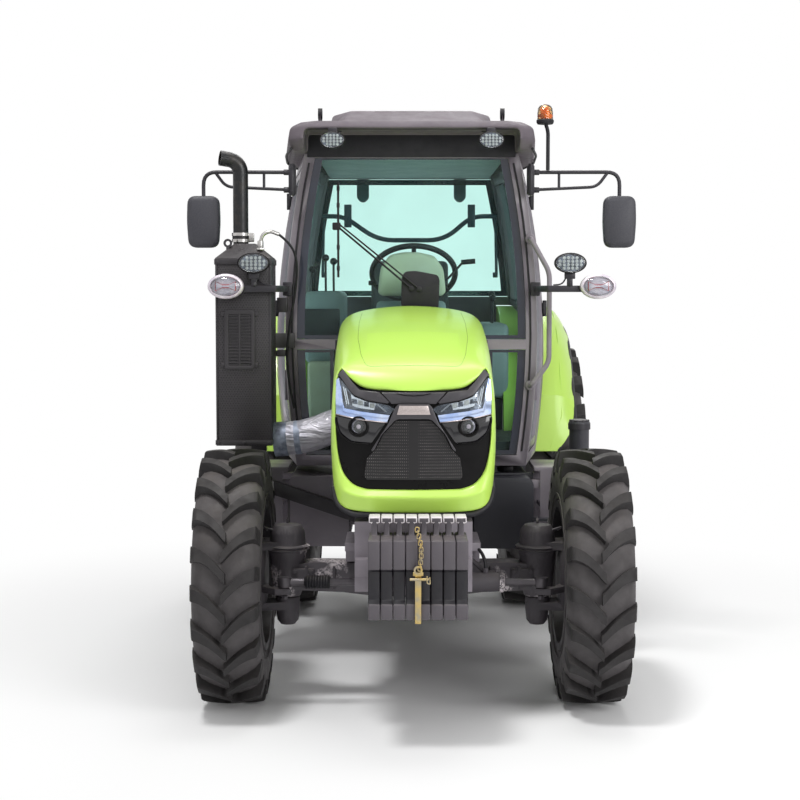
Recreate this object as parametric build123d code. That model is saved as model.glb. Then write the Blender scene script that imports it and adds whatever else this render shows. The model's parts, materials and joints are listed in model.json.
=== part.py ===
from build123d import *
from math import cos, hypot, pi, radians, sin
import os

# A four-wheel-drive farm tractor with a closed cab, about 100 hp, with front weights and a rear linkage.
# Millimetres. +Z up, the front faces -Y, +X is the tractor's left. The origin is on the ground,
# in the middle of the length and of the width.

# ---------------------------------------------------------------- driving dimensions
WHEELBASE = 2250
FRONT_AXLE_Y = -1200
REAR_AXLE_Y = FRONT_AXLE_Y + WHEELBASE

FRONT_TYRE = dict(radius=552.5, half=142, bead=304.8, seat_half=127, lug=36, lugs=20)
REAR_TYRE = dict(radius=737.5, half=214, bead=381.0, seat_half=190, lug=42, lugs=22)
FRONT_WHEEL_X = 771
REAR_WHEEL_X = 741
FRONT_WHEEL_Z = FRONT_TYRE["radius"]
REAR_WHEEL_Z = REAR_TYRE["radius"]

KINGPIN_X = 545
STEER_ARM = 190          # kingpin to tie-rod ball, straight ahead of the axle
STEER_ROD_Z = 556
ARM_UNDER_ROD = 6
TRUNNION_RADIUS = 34     # front pin of the rocking axle
PINION_RADIUS = 46       # its rear pin, round the drive pinion

HOOD_FRONT_Y = -1700
HOOD_REAR_Y = -478
HOOD_WALL = 5

CAB_FRONT_Y = -450
CAB_POST_Y = 350             # the door's hinge post
CAB_REAR_Y = 1000
CAB_LOW_Z = 950
CAB_TOP_Z = 2445
CAB_WALL = 48
GLASS_TOP_Z = 2424
VISOR_Z = 2540               # under side of the roof over the windscreen
FLOOR_Z = 1060
SHELF_Z = 1220

LINK_PIVOT = (1160, 470)     # y, z of the lower links' front pins
LINK_LENGTH = 850
LIFT_ARM = 360               # lift arm, and lower link from its pin to the lift rod: a parallelogram
LIFT_PIVOT = (1160, 1010)    # y, z of the lift shaft
LIFT_SHAFT = 30
LINK_REST = 2.0              # degrees that the links hang down at rest
LINK_FRONT_X = 205
LINK_BALL_X = 425
LINK_PIN = 14
PTO_Z = 640
PTO_BOSS_Y = 1275            # flat face that the drive stub stands out of
PTO_END_Y = 1365
PTO_RADIUS = 17.5            # a 35 mm stub, six splines
TOP_PIVOT = (1290, 925)      # y, z of the top link's pin
TOP_LENGTH = 560
BALL_BORE = 14.35            # category 2 lower-link pin, half of 28.7
TOP_BORE = 12.75             # category 2 top-link pin, half of 25.5

parts = {}


# ---------------------------------------------------------------- small helpers
def block(x0, x1, y0, y1, z0, z1):
    """A box between two corners."""
    return Pos((x0 + x1) / 2, (y0 + y1) / 2, (z0 + z1) / 2) * Box(abs(x1 - x0), abs(y1 - y0), abs(z1 - z0))


def rod(start, end, radius):
    """A round bar between two points."""
    a, b = Vector(*start), Vector(*end)
    return extrude(Plane(origin=a, z_dir=b - a) * Circle(radius), amount=(b - a).length)


def pipe(points, radius, bend):
    """A round bar along a line with rounded corners."""
    path = FilletPolyline(*points, radius=bend)
    return sweep(Plane(origin=path @ 0, z_dir=path % 0) * Circle(radius), path)


def plate_yz(points, x0, x1):
    """An outline of (y, z) points, from x0 to x1."""
    face = make_face(Polyline(*[(0, y, z) for y, z in points], close=True))
    return Pos(min(x0, x1), 0, 0) * extrude(face, amount=abs(x1 - x0), dir=(1, 0, 0))


def plate_xz(points, y0, y1):
    """An outline of (x, z) points, from y0 to y1."""
    face = make_face(Polyline(*[(x, 0, z) for x, z in points], close=True))
    return Pos(0, min(y0, y1), 0) * extrude(face, amount=abs(y1 - y0), dir=(0, 1, 0))


def plate_xy(points, z0, z1):
    """An outline of (x, y) points, from z0 to z1."""
    face = make_face(Polyline(*points, close=True))
    return Pos(0, 0, z0) * extrude(face, amount=z1 - z0, dir=(0, 0, 1))


def turned_x(profile, x, y, z):
    """A profile of (x, radius) points turned about a line along X through (y, z)."""
    face = make_face(Polyline(*[(px, pr, 0) for px, pr in profile], close=True))
    return Pos(x, y, z) * revolve(face, Axis.X, 360)


def turned_z(profile, x, y, z):
    """A profile of (radius, z) points turned about a vertical line."""
    face = make_face(Polyline(*[(pr, 0, pz) for pr, pz in profile], close=True))
    return Pos(x, y, z) * revolve(face, Axis.Z, 360)


def fused(*shapes):
    """One solid from several that meet."""
    whole = shapes[0]
    for shape in shapes[1:]:
        whole = whole + shape
    return whole


def flipped(shape):
    """The same piece on the other side."""
    return mirror(shape, about=Plane.YZ)


def both(shape):
    """A piece and its mirror image, apart from each other."""
    return list(shape.solids()) + list(flipped(shape).solids())


def keep(name, *shapes):
    """Notes a node: one solid, or several that don't touch."""
    solids = []
    for shape in shapes:
        solids += list(shape) if isinstance(shape, (list, tuple)) else list(shape.solids())
    parts[name] = solids[0] if len(solids) == 1 else Compound(children=[Solid(s.wrapped) for s in solids])


# ---------------------------------------------------------------- tyres and rims
def rolling(x, radius, turn):
    """A point at a width, a radius and an angle that grows as the wheel rolls forward."""
    return Vector(x, -radius * sin(turn), radius * cos(turn))


# a bar at its nose, bend and shoulder: share of the half width, arc behind the nose, half thickness in arc,
# drop of its top, and drop of the groove beside it
BAR_STATIONS = [
    (0.01, 0.0, 0.036, 0, 0),
    (0.50, 0.140, 0.040, 3, 4),
    (1.00, 0.185, 0.052, 15, 44),
]
BAR_FOOT = 1.25          # a bar's foot is this much wider than its top
TYRE_WALL = 34


def tyre(size):
    """A tractor tyre with two rows of bent bars, in flat facets, about the X axis."""
    radius, half, count = size["radius"], size["half"], size["lugs"]
    carcass, seat = radius - size["lug"], size["bead"] / cos(pi / size["lugs"]) + 0.2
    pitch = 2 * pi / count
    # x, radius of the rings from the shoulder down round the bead and up inside, one corner for each bar
    rings = [(0.98 * half, size["bead"] + 0.42 * (carcass - size["bead"])), (size["seat_half"] - 1, seat + 26),
             (size["seat_half"] - 1, seat), (size["seat_half"] - 26, seat), (0.66 * half, carcass - TYRE_WALL)]
    faces = []

    def facet(*corners):
        faces.append(Face(Wire.make_polygon(corners, close=True)))

    def strip(a, b, c, d):
        facet(a, b, c)
        facet(a, c, d)

    feet, inner = {}, {}
    for side, shift in ((1, 0.0), (-1, 0.5)):
        bars, hoops = [], []
        for k in range(count):
            nose = pitch * (k + shift)
            bar = []
            for share, back, thick, drop, groove in BAR_STATIONS:
                x, turn, wide = side * share * half, nose - back, thick * BAR_FOOT
                bar.append([rolling(x, carcass - groove, turn + wide), rolling(x, radius - drop, turn + thick),
                            rolling(x, radius - drop, turn - thick), rolling(x, carcass - groove, turn - wide)])
            bars.append(bar)
            hoops.append([rolling(side * x, r, nose - BAR_STATIONS[-1][1]) for x, r in rings])
        for k in range(count):
            bar, before, hoop, last = bars[k], bars[k - 1], hoops[k], hoops[k - 1]
            for a, b in zip(bar, bar[1:]):
                for j in range(3):
                    strip(a[j], b[j], b[j + 1], a[j + 1])
            for i in range(len(bar) - 1):
                strip(bar[i][3], bar[i + 1][3], before[i + 1][0], before[i][0])
            facet(*bar[0])
            facet(*bar[-1])
            facet(bar[-1][0], bar[-1][3], hoop[0])
            facet(bar[-1][3], before[-1][0], hoop[0])
            facet(before[-1][0], last[0], hoop[0])
            for a, b, c, d in zip(hoop, hoop[1:], last[1:], last):
                strip(a, b, c, d)
        feet[side] = [(bar[0][0], bar[0][3]) for bar in bars]
        inner[side] = [hoop[-1] for hoop in hoops]
    for k in range(count):
        above = (k + 1) % count
        (left_front, left_rear), (right_front, right_rear) = feet[1][k], feet[-1][k]
        facet(feet[1][above][1], right_front, right_rear)
        facet(feet[1][above][1], right_rear, left_front)
        facet(left_front, right_rear, left_rear)
        facet(left_rear, right_rear, feet[-1][k - 1][0])
        facet(inner[1][k], inner[-1][k], inner[1][above])
        facet(inner[1][k], inner[-1][k - 1], inner[-1][k])
    return Solid(Shell(faces))


def rim(size, disc_x, hub_radius, hub_out):
    """A drop-centre rim with its dished disc and hub, about the X axis; the disc is at disc_x."""
    seat, hs = size["bead"], size["seat_half"]
    flange, low = seat + 21, seat - 36
    barrel = [
        (-hs - 9, flange), (-hs, flange), (-hs, seat), (-hs + 48, seat - 2), (-hs + 74, low), (hs - 74, low),
        (hs - 48, seat - 2), (hs, seat), (hs, flange), (hs + 9, flange), (hs + 9, seat - 9), (hs - 53, seat - 11),
        (hs - 78, low - 9), (-hs + 78, low - 9), (-hs + 53, seat - 11), (-hs - 9, seat - 9),
    ]
    edge = hs - 60
    disc = [
        (disc_x, 0), (disc_x, 0.62 * low), (edge - 12, seat - 26), (edge - 12, seat - 14), (edge + 3, seat - 14),
        (disc_x + 14, 0.62 * low), (disc_x + 14, hub_radius), (hub_out - 12, hub_radius - 4),
        (hub_out, hub_radius - 22), (hub_out, 0),
    ]
    return fused(turned_x(barrel, 0, 0, 0), turned_x(disc, 0, 0, 0))


def wheels():
    """Four tyres and rims, the left ones mirrored to the right."""
    table = [
        # name, size, x, y, disc, hub radius, hub's end
        ("front", FRONT_TYRE, FRONT_WHEEL_X, FRONT_AXLE_Y, 32, 82, 118),
        ("rear", REAR_TYRE, REAR_WHEEL_X, REAR_AXLE_Y, 62, 78, 120),
    ]
    for name, size, x, y, disc, hub, out in table:
        z = size["radius"]
        tread = Pos(x, y, z) * tyre(size)
        metal = Pos(x, y, z) * rim(size, disc, hub, out)
        keep(f"tyre_{name}_left", tread)
        keep(f"rim_{name}_left", metal)
        keep(f"tyre_{name}_right", flipped(tread))
        keep(f"rim_{name}_right", flipped(metal))


# ---------------------------------------------------------------- front end
def front_axle():
    """The axle beam with its centre casting and the kingpin cases at its ends."""
    y, z = FRONT_AXLE_Y, FRONT_WHEEL_Z
    outline = [
        (-KINGPIN_X, z - 55), (-300, z - 66), (-150, z - 84), (150, z - 84), (300, z - 66), (KINGPIN_X, z - 55),
        (KINGPIN_X, z + 52), (430, z + 64), (160, z + 60), (-160, z + 60), (-430, z + 64), (-KINGPIN_X, z + 52),
    ]
    beam = plate_xz(outline, y - 58, y + 58)
    case = turned_x([(-95, 0), (-95, 66), (-60, 98), (60, 98), (95, 66), (95, 0)], 0, y, z)
    pinion = rod((0, y + 50, z + 12), (0, y + 240, z + 12), PINION_RADIUS)
    ends = [turned_z([(0, -88), (56, -88), (66, -60), (80, 96), (84, 104), (84, 114), (0, 114)], s * KINGPIN_X, y, z)
            for s in (-1, 1)]
    pivot = rod((0, y - 144, z + 12), (0, y, z + 12), TRUNNION_RADIUS)
    keep("front_axle", fused(beam, case, pinion, *ends, pivot))


def knuckle():
    """The left swivel case: cap over the kingpin, hub housing, lower boss and tie-rod arm."""
    x, y, z = KINGPIN_X, FRONT_AXLE_Y, FRONT_WHEEL_Z
    cap = turned_z([(0, 120), (90, 120), (90, 134), (78, 138), (75, 196), (58, 222), (0, 229)], x, y, z)
    upper = plate_xy([(x, y - 66), (x + 150, y - 84), (x + 150, y + 84), (x, y + 66)], z + 120, z + 152)
    face = FRONT_WHEEL_X + 32 - 0.5
    housing = turned_x([
        (x + 92, 0), (x + 92, 120), (x + 108, 150), (x + 152, 150), (x + 190, 112), (face - 12, 92), (face - 12, 60),
        (face, 60), (face, 0),
    ], 0, y, z)
    lower = plate_xy([(x, y - 52), (x + 140, y - 72), (x + 140, y + 72), (x, y + 52)], z - 146, z - 112)
    boss = turned_z([(0, -214), (32, -214), (46, -196), (52, -146), (52, -94), (0, -94)], x, y, z)
    arm_top = STEER_ROD_Z - 20 - ARM_UNDER_ROD
    ball_y = y - STEER_ARM
    arm = plate_xy([(x - 26, ball_y - 22), (x + 40, ball_y - 26), (x + 130, y - 120), (x + 130, y - 60),
                    (x + 96, y - 70), (x + 60, ball_y + 34), (x - 10, ball_y + 26)], arm_top - 26, arm_top)
    return fused(cap, upper, housing, lower, boss, arm)


def steering():
    """The double-ended steering cylinder on the axle, and the rod that joins the two arms."""
    y, z = FRONT_AXLE_Y - STEER_ARM, STEER_ROD_Z
    bore = 16.4
    barrel = rod((-200, y, z), (375, y, z), 40) + rod((-215, y, z), (-200, y, z), 30)
    feet = [block(a - 26, a + 26, y + 20, FRONT_AXLE_Y - 58, z - 34, z + 30) for a in (-168, 330)]
    keep("steering_cylinder", fused(barrel, *feet) - rod((-260, y, z), (385, y, z), bore))
    shaft = rod((-520, y, z), (520, y, z), 16)
    eyes = [Pos(s * KINGPIN_X, y, z) * Cylinder(30, 40) for s in (-1, 1)]
    bellows = [rod((-452 + 12 * k, y, z), (-445 + 12 * k, y, z), 27) for k in range(8)]
    sleeve = rod((-456, y, z), (-352, y, z), 21)
    keep("steering_rod", fused(shaft, *eyes, sleeve, *bellows))


WEIGHT_COUNT = 8
WEIGHT_PITCH = 48.5
WEIGHT_SHIFT = 15
WEIGHT_FRONT_Y = -2040


def front_support():
    """The cast frame under the hood: side walls, front beam for the weights, axle bearings."""
    walls = [plate_yz([(-1690, 640), (-1690, 862), (-560, 862), (-480, 800), (-480, 640), (-900, 625), (-1500, 625)],
                      s * 205, s * 238) for s in (-1, 1)]
    front = block(-238, 238, -1712, -1678, 575, 862)
    beam = block(-235, 235, -1770, -1712, 648, 716)
    across = block(-290, 290, -1345, -1030, 680, 716)
    cheeks = [block(s * 238, s * 288, -1300, -1030, 628, 716) for s in (-1, 1)]
    deck = block(-205, 205, -1690, -1500, 820, 862)
    bearings = [block(-76, 76, FRONT_AXLE_Y + a, FRONT_AXLE_Y + b, 490, 690) for a, b in ((-142, -102), (104, 150))]
    whole = fused(front, *walls, beam, across, *cheeks, deck, *bearings)
    y, z = FRONT_AXLE_Y, FRONT_WHEEL_Z + 12
    whole = whole - rod((0, y - 150, z), (0, y - 90, z), TRUNNION_RADIUS + 1) - rod((0, y + 90, z), (0, y + 160, z),
                                                                                PINION_RADIUS + 1)
    keep("front_support", whole)


def front_weights():
    """Eight hooked plates side by side, each with a grip on top."""
    y = WEIGHT_FRONT_Y
    side = [
        (y, 527), (y, 587), (y + 26, 600), (y + 26, 712), (y, 723), (y, 835), (y + 225, 835), (y + 270, 790),
        (y + 312, 790), (y + 312, 722), (y + 268, 722), (y + 268, 640), (y + 240, 527),
    ]
    solids = []
    for k in range(WEIGHT_COUNT):
        x = WEIGHT_SHIFT + (k - (WEIGHT_COUNT - 1) / 2) * WEIGHT_PITCH
        slab = plate_yz(side, x - 23, x + 23)
        grip = plate_yz([(y + 130, 835), (y + 130, 900), (y + 225, 900), (y + 225, 835)], x - 11, x + 11)
        hole = plate_yz([(y + 148, 838), (y + 148, 884), (y + 207, 884), (y + 207, 838)], x - 20, x + 20)
        cap = block(x - 22, x + 22, y + 130, y + 225, 884, 908)
        solids += (slab + (grip - hole) + cap).solids()
    keep("front_weights", solids)
    x = WEIGHT_SHIFT
    bar = block(x - 12, x + 12, y - 12, y - 0.5, 515, 700) + block(x - 20, x + 20, y - 12, y - 0.5, 700, 716)
    keep("weight_lock", bar)


# ---------------------------------------------------------------- engine and driveline
def driveline():
    """The closed masses: engine, cooling pack, gearbox with the rear axle."""
    engine = fused(block(-175, 175, -1440, -478, 716, 1265), block(-130, 130, -1000, -540, 625, 716),
                   block(-110, 110, -1380, -620, 1265, 1340))
    cooler = block(-245, 245, -1600, -1500, 862, 1370)
    keep("engine_block", engine, cooler)
    gearbox = plate_yz([(-478, 560), (-478, 935), (300, 935), (560, 1000), (1240, 1000), (1240, 430), (900, 430),
                        (700, 480), (-200, 480)], -165, 165)
    centre = turned_x([(-250, 0), (-250, 190), (-180, 235), (180, 235), (250, 190), (250, 0)], 0, REAR_AXLE_Y, REAR_WHEEL_Z)
    face = REAR_WHEEL_X + 62 - 0.5
    trumpets = [turned_x([(240, 0), (240, 150), (330, 112), (520, 96), (560, 118), (612, 118), (612, 58),
                          (face - 10, 58), (face - 10, 74), (face, 74), (face, 0)], 0, REAR_AXLE_Y, REAR_WHEEL_Z)]
    trumpets.append(flipped(trumpets[0]))
    shaft_y, shaft_z = LIFT_PIVOT
    lift = block(-190, 190, 900, 1235, 940, 1080)
    pto = rod((0, 1200, PTO_Z), (0, PTO_BOSS_Y, PTO_Z), 52)
    pto = pto + rod((0, PTO_BOSS_Y - 5, PTO_Z), (0, PTO_END_Y, PTO_Z), PTO_RADIUS)
    guard = plate_xz([(-120, 560), (-120, 742), (120, 742), (120, 560), (110, 560), (110, 732), (-110, 732),
                      (-110, 560)], 1238, PTO_END_Y + 12)
    link_pins = [rod((s * 160, *LINK_PIVOT), (s * (LINK_FRONT_X + 26), *LINK_PIVOT), LINK_PIN) for s in (-1, 1)]
    top_y, top_z = TOP_PIVOT
    cheeks = [block(s * 28, s * 46, 1230, top_y + 34, top_z - 40, top_z + 46) for s in (-1, 1)]
    top_pin = rod((-50, top_y, top_z), (50, top_y, top_z), TOP_BORE - 0.25)
    whole = fused(gearbox, centre, *trumpets, lift, pto, guard, *link_pins, *cheeks, top_pin)
    keep("transmission", whole - rod((-200, shaft_y, shaft_z), (200, shaft_y, shaft_z), LIFT_SHAFT + 1))


# ---------------------------------------------------------------- hood
# y, then half width and height of: lower edge, waist, shoulder, crown edge; height of the crown
HOOD_SECTIONS = [
    (HOOD_FRONT_Y, 322, 985, 334, 1100, 318, 1330, 272, 1470, 1486),
    (-1200, 334, 1090, 340, 1240, 337, 1545, 268, 1618, 1640),
    (HOOD_REAR_Y, 345, 1330, 350, 1440, 350, 1600, 270, 1668, 1722),
]


def hood_section(row, wall):
    """One cross section of the hood, drawn in by the wall's thickness."""
    y, low_x, low_z, waist_x, waist_z, side_x, side_z, edge_x, edge_z, crown_z = row
    w = wall
    half = [(low_x - w, low_z), (waist_x - w, waist_z), (side_x - w, side_z - 0.3 * w), (edge_x - 0.5 * w, edge_z - w)]
    ring = half + [(0, crown_z - w)] + [(-x, z) for x, z in reversed(half)]
    return make_face(Polyline(*[(x, y, z) for x, z in ring], close=True))


def hood():
    """The one-piece hood with its nose, mask and lamps, open below and behind."""
    outer = loft([hood_section(row, 0) for row in HOOD_SECTIONS], ruled=True)
    inner = loft([hood_section(row, HOOD_WALL) for row in HOOD_SECTIONS], ruled=True)
    shell = outer - inner
    under = plate_yz([(HOOD_FRONT_Y - 5, 880), (HOOD_FRONT_Y - 5, 991), (-1200, 1096), (HOOD_REAR_Y + 5, 1338),
                      (HOOD_REAR_Y + 5, 880)], -329, 329)
    shell = shell - under
    # the nose: a frame round the mask, from the first section forward
    nose_back = [(-322, 985), (-334, 1100), (-318, 1330), (-272, 1470), (0, 1486), (272, 1470), (318, 1330),
                 (334, 1100), (322, 985), (300, 895), (-300, 895)]
    nose_front = [(-300, 1000), (-312, 1100), (-296, 1300), (-240, 1408), (0, 1416), (240, 1408), (296, 1300),
                  (312, 1100), (300, 1000), (262, 905), (-262, 905)]
    back = make_face(Polyline(*[(x, HOOD_FRONT_Y, z) for x, z in nose_back], close=True))
    front = make_face(Polyline(*[(x, HOOD_FRONT_Y - 48, z) for x, z in nose_front], close=True))
    nose = loft([back, front], ruled=True)
    hole = plate_xz([(-290, 1010), (-316, 1100), (-300, 1320), (-262, 1440), (-160, 1385), (160, 1385), (262, 1440),
                     (300, 1320), (316, 1100), (290, 1010), (235, 992), (-235, 992)], HOOD_FRONT_Y - 60, HOOD_FRONT_Y + 10)
    keep("hood_shell", shell + (nose - hole))
    mask = plate_xz([(-284, 1014), (-308, 1100), (-292, 1316), (-257, 1430), (-160, 1379), (160, 1379), (257, 1430),
                     (292, 1316), (308, 1100), (284, 1014), (233, 998), (-233, 998)], HOOD_FRONT_Y - 34, HOOD_FRONT_Y - 16)
    plate_front, plate_back = HOOD_FRONT_Y - 44, HOOD_FRONT_Y - 34
    half_bar = [(60, 1280), (75, 1274), (128, 1216), (156, 1158), (168, 1150), (99, 1264), (73, 1328), (60, 1340)]
    outline = half_bar + [(-x, z) for x, z in reversed(half_bar)]
    bars = [plate_xz(outline, plate_front, plate_back + 4)]
    pods = [rod((s * 221, plate_front + 3, 1224), (s * 221, plate_back + 4, 1224), 38) for s in (-1, 1)]
    mask = fused(mask, *bars, *pods)
    lamp = plate_xz([(106, 1286), (84, 1316), (104, 1336), (182, 1350), (236, 1368), (264, 1410), (282, 1340), (287, 1286)],
                    HOOD_FRONT_Y - 42, HOOD_FRONT_Y - 34.2)
    strip = plate_xz([(112, 1270), (106, 1285), (287, 1285), (288, 1270)], HOOD_FRONT_Y - 46, HOOD_FRONT_Y - 34.2)
    lamp = lamp + strip
    keep("hood_mask", mask)
    keep("headlamps", both(lamp))


# ---------------------------------------------------------------- cab
# y, then half width at the sill, the waist and the roof rail
CAB_SECTIONS = [
    (CAB_FRONT_Y, 552, 600, 508),
    (CAB_POST_Y, 676, 700, 590),
    (CAB_REAR_Y, 604, 614, 508),
]
CAB_WAIST_Z = 1720


def side_section(row, outer, inner):
    """A thin upright strip of the cab's side, bowed outwards at the waist."""
    y, low, waist, top = row
    arcs = []
    for w in (outer, inner):
        arcs.append(ThreePointArc((low - w, y, CAB_LOW_Z), (waist - w, y, CAB_WAIST_Z), (top - w, y, CAB_TOP_Z)))
    foot = Line(arcs[0] @ 0, arcs[1] @ 0)
    head = Line(arcs[0] @ 1, arcs[1] @ 1)
    return make_face(Wire([arcs[0], head, arcs[1], foot]))


def side_skin(outer, inner):
    """The left side of the cab from the front post to the rear post."""
    return loft([side_section(row, outer, inner) for row in CAB_SECTIONS], ruled=True)


def cross_wall(row, y0, y1, inset):
    """The cab's outline at a section, between the bowed sides, as a slab."""
    _, low, waist, top = row
    arcs = [ThreePointArc((s * (low - inset), 0, CAB_LOW_Z), (s * (waist - inset), 0, CAB_WAIST_Z),
                          (s * (top - inset), 0, CAB_TOP_Z)) for s in (1, -1)]
    face = make_face(Wire([arcs[0], Line(arcs[0] @ 1, arcs[1] @ 1), arcs[1], Line(arcs[1] @ 0, arcs[0] @ 0)]))
    return Pos(0, y0, 0) * extrude(face, amount=y1 - y0, dir=(0, 1, 0))


# (y, z) outlines seen from the side
FENDER_LINE = [(232, 950), (300, 1240), (430, 1480), (640, 1640), (900, 1700), (1240, 1690), (1500, 1560),
               (1690, 1300), (1740, 1130)]
FENDER_WALL = 8
WING_INNER_X = 492
WING_OUTER_X = 872
DOOR_HOLE = [(-398, 1005), (60, 1005), (196, 1200), (300, 1450), (300, 2385), (-398, 2385)]
QUARTER_HOLE = [(400, 1560), (640, 1700), (930, 1745), (930, 2385), (400, 2385)]
GAP = 6


def outline_prism(points, gap, x0, x1):
    """An outline seen from the side, drawn in by a gap, as a slab from x0 to x1."""
    face = offset(make_face(Polyline(*points, close=True)), -gap, kind=Kind.INTERSECTION)
    slab = extrude(face, amount=x1 - x0)
    return Plane(origin=(x0, 0, 0), x_dir=(0, 1, 0), z_dir=(1, 0, 0)) * slab


def fender_line(rise):
    """The wing's arch seen from the side, moved outwards."""
    moved = []
    for i, (y, z) in enumerate(FENDER_LINE):
        ay, az = FENDER_LINE[max(i - 1, 0)]
        by, bz = FENDER_LINE[min(i + 1, len(FENDER_LINE) - 1)]
        length = hypot(by - ay, bz - az)
        moved.append((y - rise * (bz - az) / length, z + rise * (by - ay) / length))
    return moved


def cab_core(inset):
    """The room inside the cab's side walls."""
    faces = []
    for y, low, waist, top in CAB_SECTIONS:
        arcs = [ThreePointArc((s * (low - inset), y, CAB_LOW_Z), (s * (waist - inset), y, CAB_WAIST_Z),
                              (s * (top - inset), y, CAB_TOP_Z)) for s in (1, -1)]
        faces.append(make_face(Wire([arcs[0], Line(arcs[0] @ 1, arcs[1] @ 1), arcs[1], Line(arcs[1] @ 0, arcs[0] @ 0)])))
    return loft(faces, ruled=True)


def cab():
    """The welded cab frame, its fixed panes and the two doors."""
    side_outline = [(CAB_FRONT_Y, CAB_LOW_Z), (218, CAB_LOW_Z)] + fender_line(FENDER_WALL + 0.5)[1:5] + [
        (CAB_REAR_Y, 1712), (CAB_REAR_Y, CAB_TOP_Z), (CAB_FRONT_Y, CAB_TOP_Z)]
    side = side_skin(0, CAB_WALL) & outline_prism(side_outline, 0.01, 300, 800)
    side = side - outline_prism(DOOR_HOLE, 0, 300, 800) - outline_prism(QUARTER_HOLE, 0, 300, 800)
    first, last = CAB_SECTIONS[0], CAB_SECTIONS[-1]
    front = cross_wall(first, CAB_FRONT_Y, CAB_FRONT_Y + 50, CAB_WALL / 2)
    room = cross_wall(first, CAB_FRONT_Y - 5, CAB_FRONT_Y + 60, CAB_WALL + 4)
    front = front - (room & block(-600, 600, -500, -380, 1559, GLASS_TOP_Z)) - (
        room & block(372, 600, -500, -380, 1000, 1511)) - (room & block(-600, -372, -500, -380, 1000, 1511))
    rear = cross_wall(last, CAB_REAR_Y - 45, CAB_REAR_Y, CAB_WALL / 2)
    rear = (rear & block(-700, 700, 900, 1100, 1712, 2500)) + (rear & block(-491, 491, 900, 1100, 1180, 1730))
    rear = rear - (cross_wall(last, CAB_REAR_Y - 60, CAB_REAR_Y + 10, CAB_WALL + 6) & block(
        -700, 700, 900, 1100, 1760, GLASS_TOP_Z))
    keep("cab_frame", fused(front, side, flipped(side), rear))

    # fixed panes, 6 mm, in the middle of the walls
    screen = cross_wall(first, CAB_FRONT_Y + 22, CAB_FRONT_Y + 28, CAB_WALL + 4.5)
    panes = [screen & block(-600, 600, -500, -380, 1559.5, GLASS_TOP_Z - 0.5),
             screen & block(372.5, 600, -500, -380, 1000.5, 1510.5),
             screen & block(-600, -372.5, -500, -380, 1000.5, 1510.5)]
    quarter = side_skin(21, 27) & outline_prism(QUARTER_HOLE, 0.5, 300, 800)
    back = cross_wall(last, CAB_REAR_Y - 25, CAB_REAR_Y - 19, CAB_WALL + 6.5) & block(
        -700, 700, 900, 1100, 1760.5, GLASS_TOP_Z - 0.5)
    keep("cab_glass", *panes, both(quarter), back)

    ring = side_skin(2, 40) & (outline_prism(DOOR_HOLE, GAP, 300, 800) - outline_prism(DOOR_HOLE, GAP + 42, 290, 810))
    pane = side_skin(18, 24) & outline_prism(DOOR_HOLE, GAP + 42.5, 300, 800)
    handle = block(575, 606, -384, -366, 1262, 1278) + block(575, 606, -384, -366, 1392, 1408)
    handle = handle + block(600, 612, -384, -366, 1262, 1408)
    ring = ring + handle
    keep("door_left", ring)
    keep("door_glass_left", pane)
    keep("door_right", flipped(ring))
    keep("door_glass_right", flipped(pane))


def roof():
    """The roof: a shallow moulded tray with a raised middle and a visor over the windscreen."""
    # height, front y, rear y, half width in front, at the posts and behind
    rows = [
        (2446, -640, 1085, 560, 632, 556),
        (2490, -700, 1110, 576, 648, 570),
        (2552, -690, 1105, 566, 640, 562),
        (2580, -640, 1060, 520, 596, 520),
    ]
    sections = []
    for z, front, rear, hf, hm, hr in rows:
        c = 70
        half = [(hf - c, front), (hf, front + c), (hm, 250), (hr, rear - c), (hr - c, rear)]
        ring = half + [(-x, y) for x, y in reversed(half)]
        sections.append(make_face(Polyline(*[(x, y, z) for x, y in ring], close=True)))
    tray = loft(sections, ruled=True)
    low = [(-330, -560), (330, -560), (400, -300), (400, 760), (320, 960), (-320, 960), (-400, 760), (-400, -300)]
    high = [(-250, -330), (250, -330), (330, -120), (330, 600), (250, 800), (-250, 800), (-330, 600), (-330, -120)]
    raised = loft([make_face(Polyline(*[(x, y, 2578) for x, y in low], close=True)),
                   make_face(Polyline(*[(x, y, 2690) for x, y in high], close=True))], ruled=True)
    pocket = plate_xy([(-458, -395), (458, -395), (536, 350), (458, 948), (-458, 948), (-536, 350)], 2440, 2545)
    recess = block(-235, 235, -220, 690, 2540, 2660)
    visor = block(-500, 500, -800, CAB_FRONT_Y - 5, 2430, VISOR_Z)
    whole = tray + raised - pocket - recess - visor
    eyes = []
    for x, y in ((440, -330), (-440, -330), (440, 780), (-440, 780)):
        plate = plate_yz([(y - 30, 2570), (y - 30, 2640), (y, 2676), (y + 30, 2640), (y + 30, 2570)], x - 6, x + 6)
        eyes.append(plate - rod((x - 10, y, 2634), (x + 10, y, 2634), 13))
    keep("cab_roof", fused(whole, *eyes))


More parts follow.
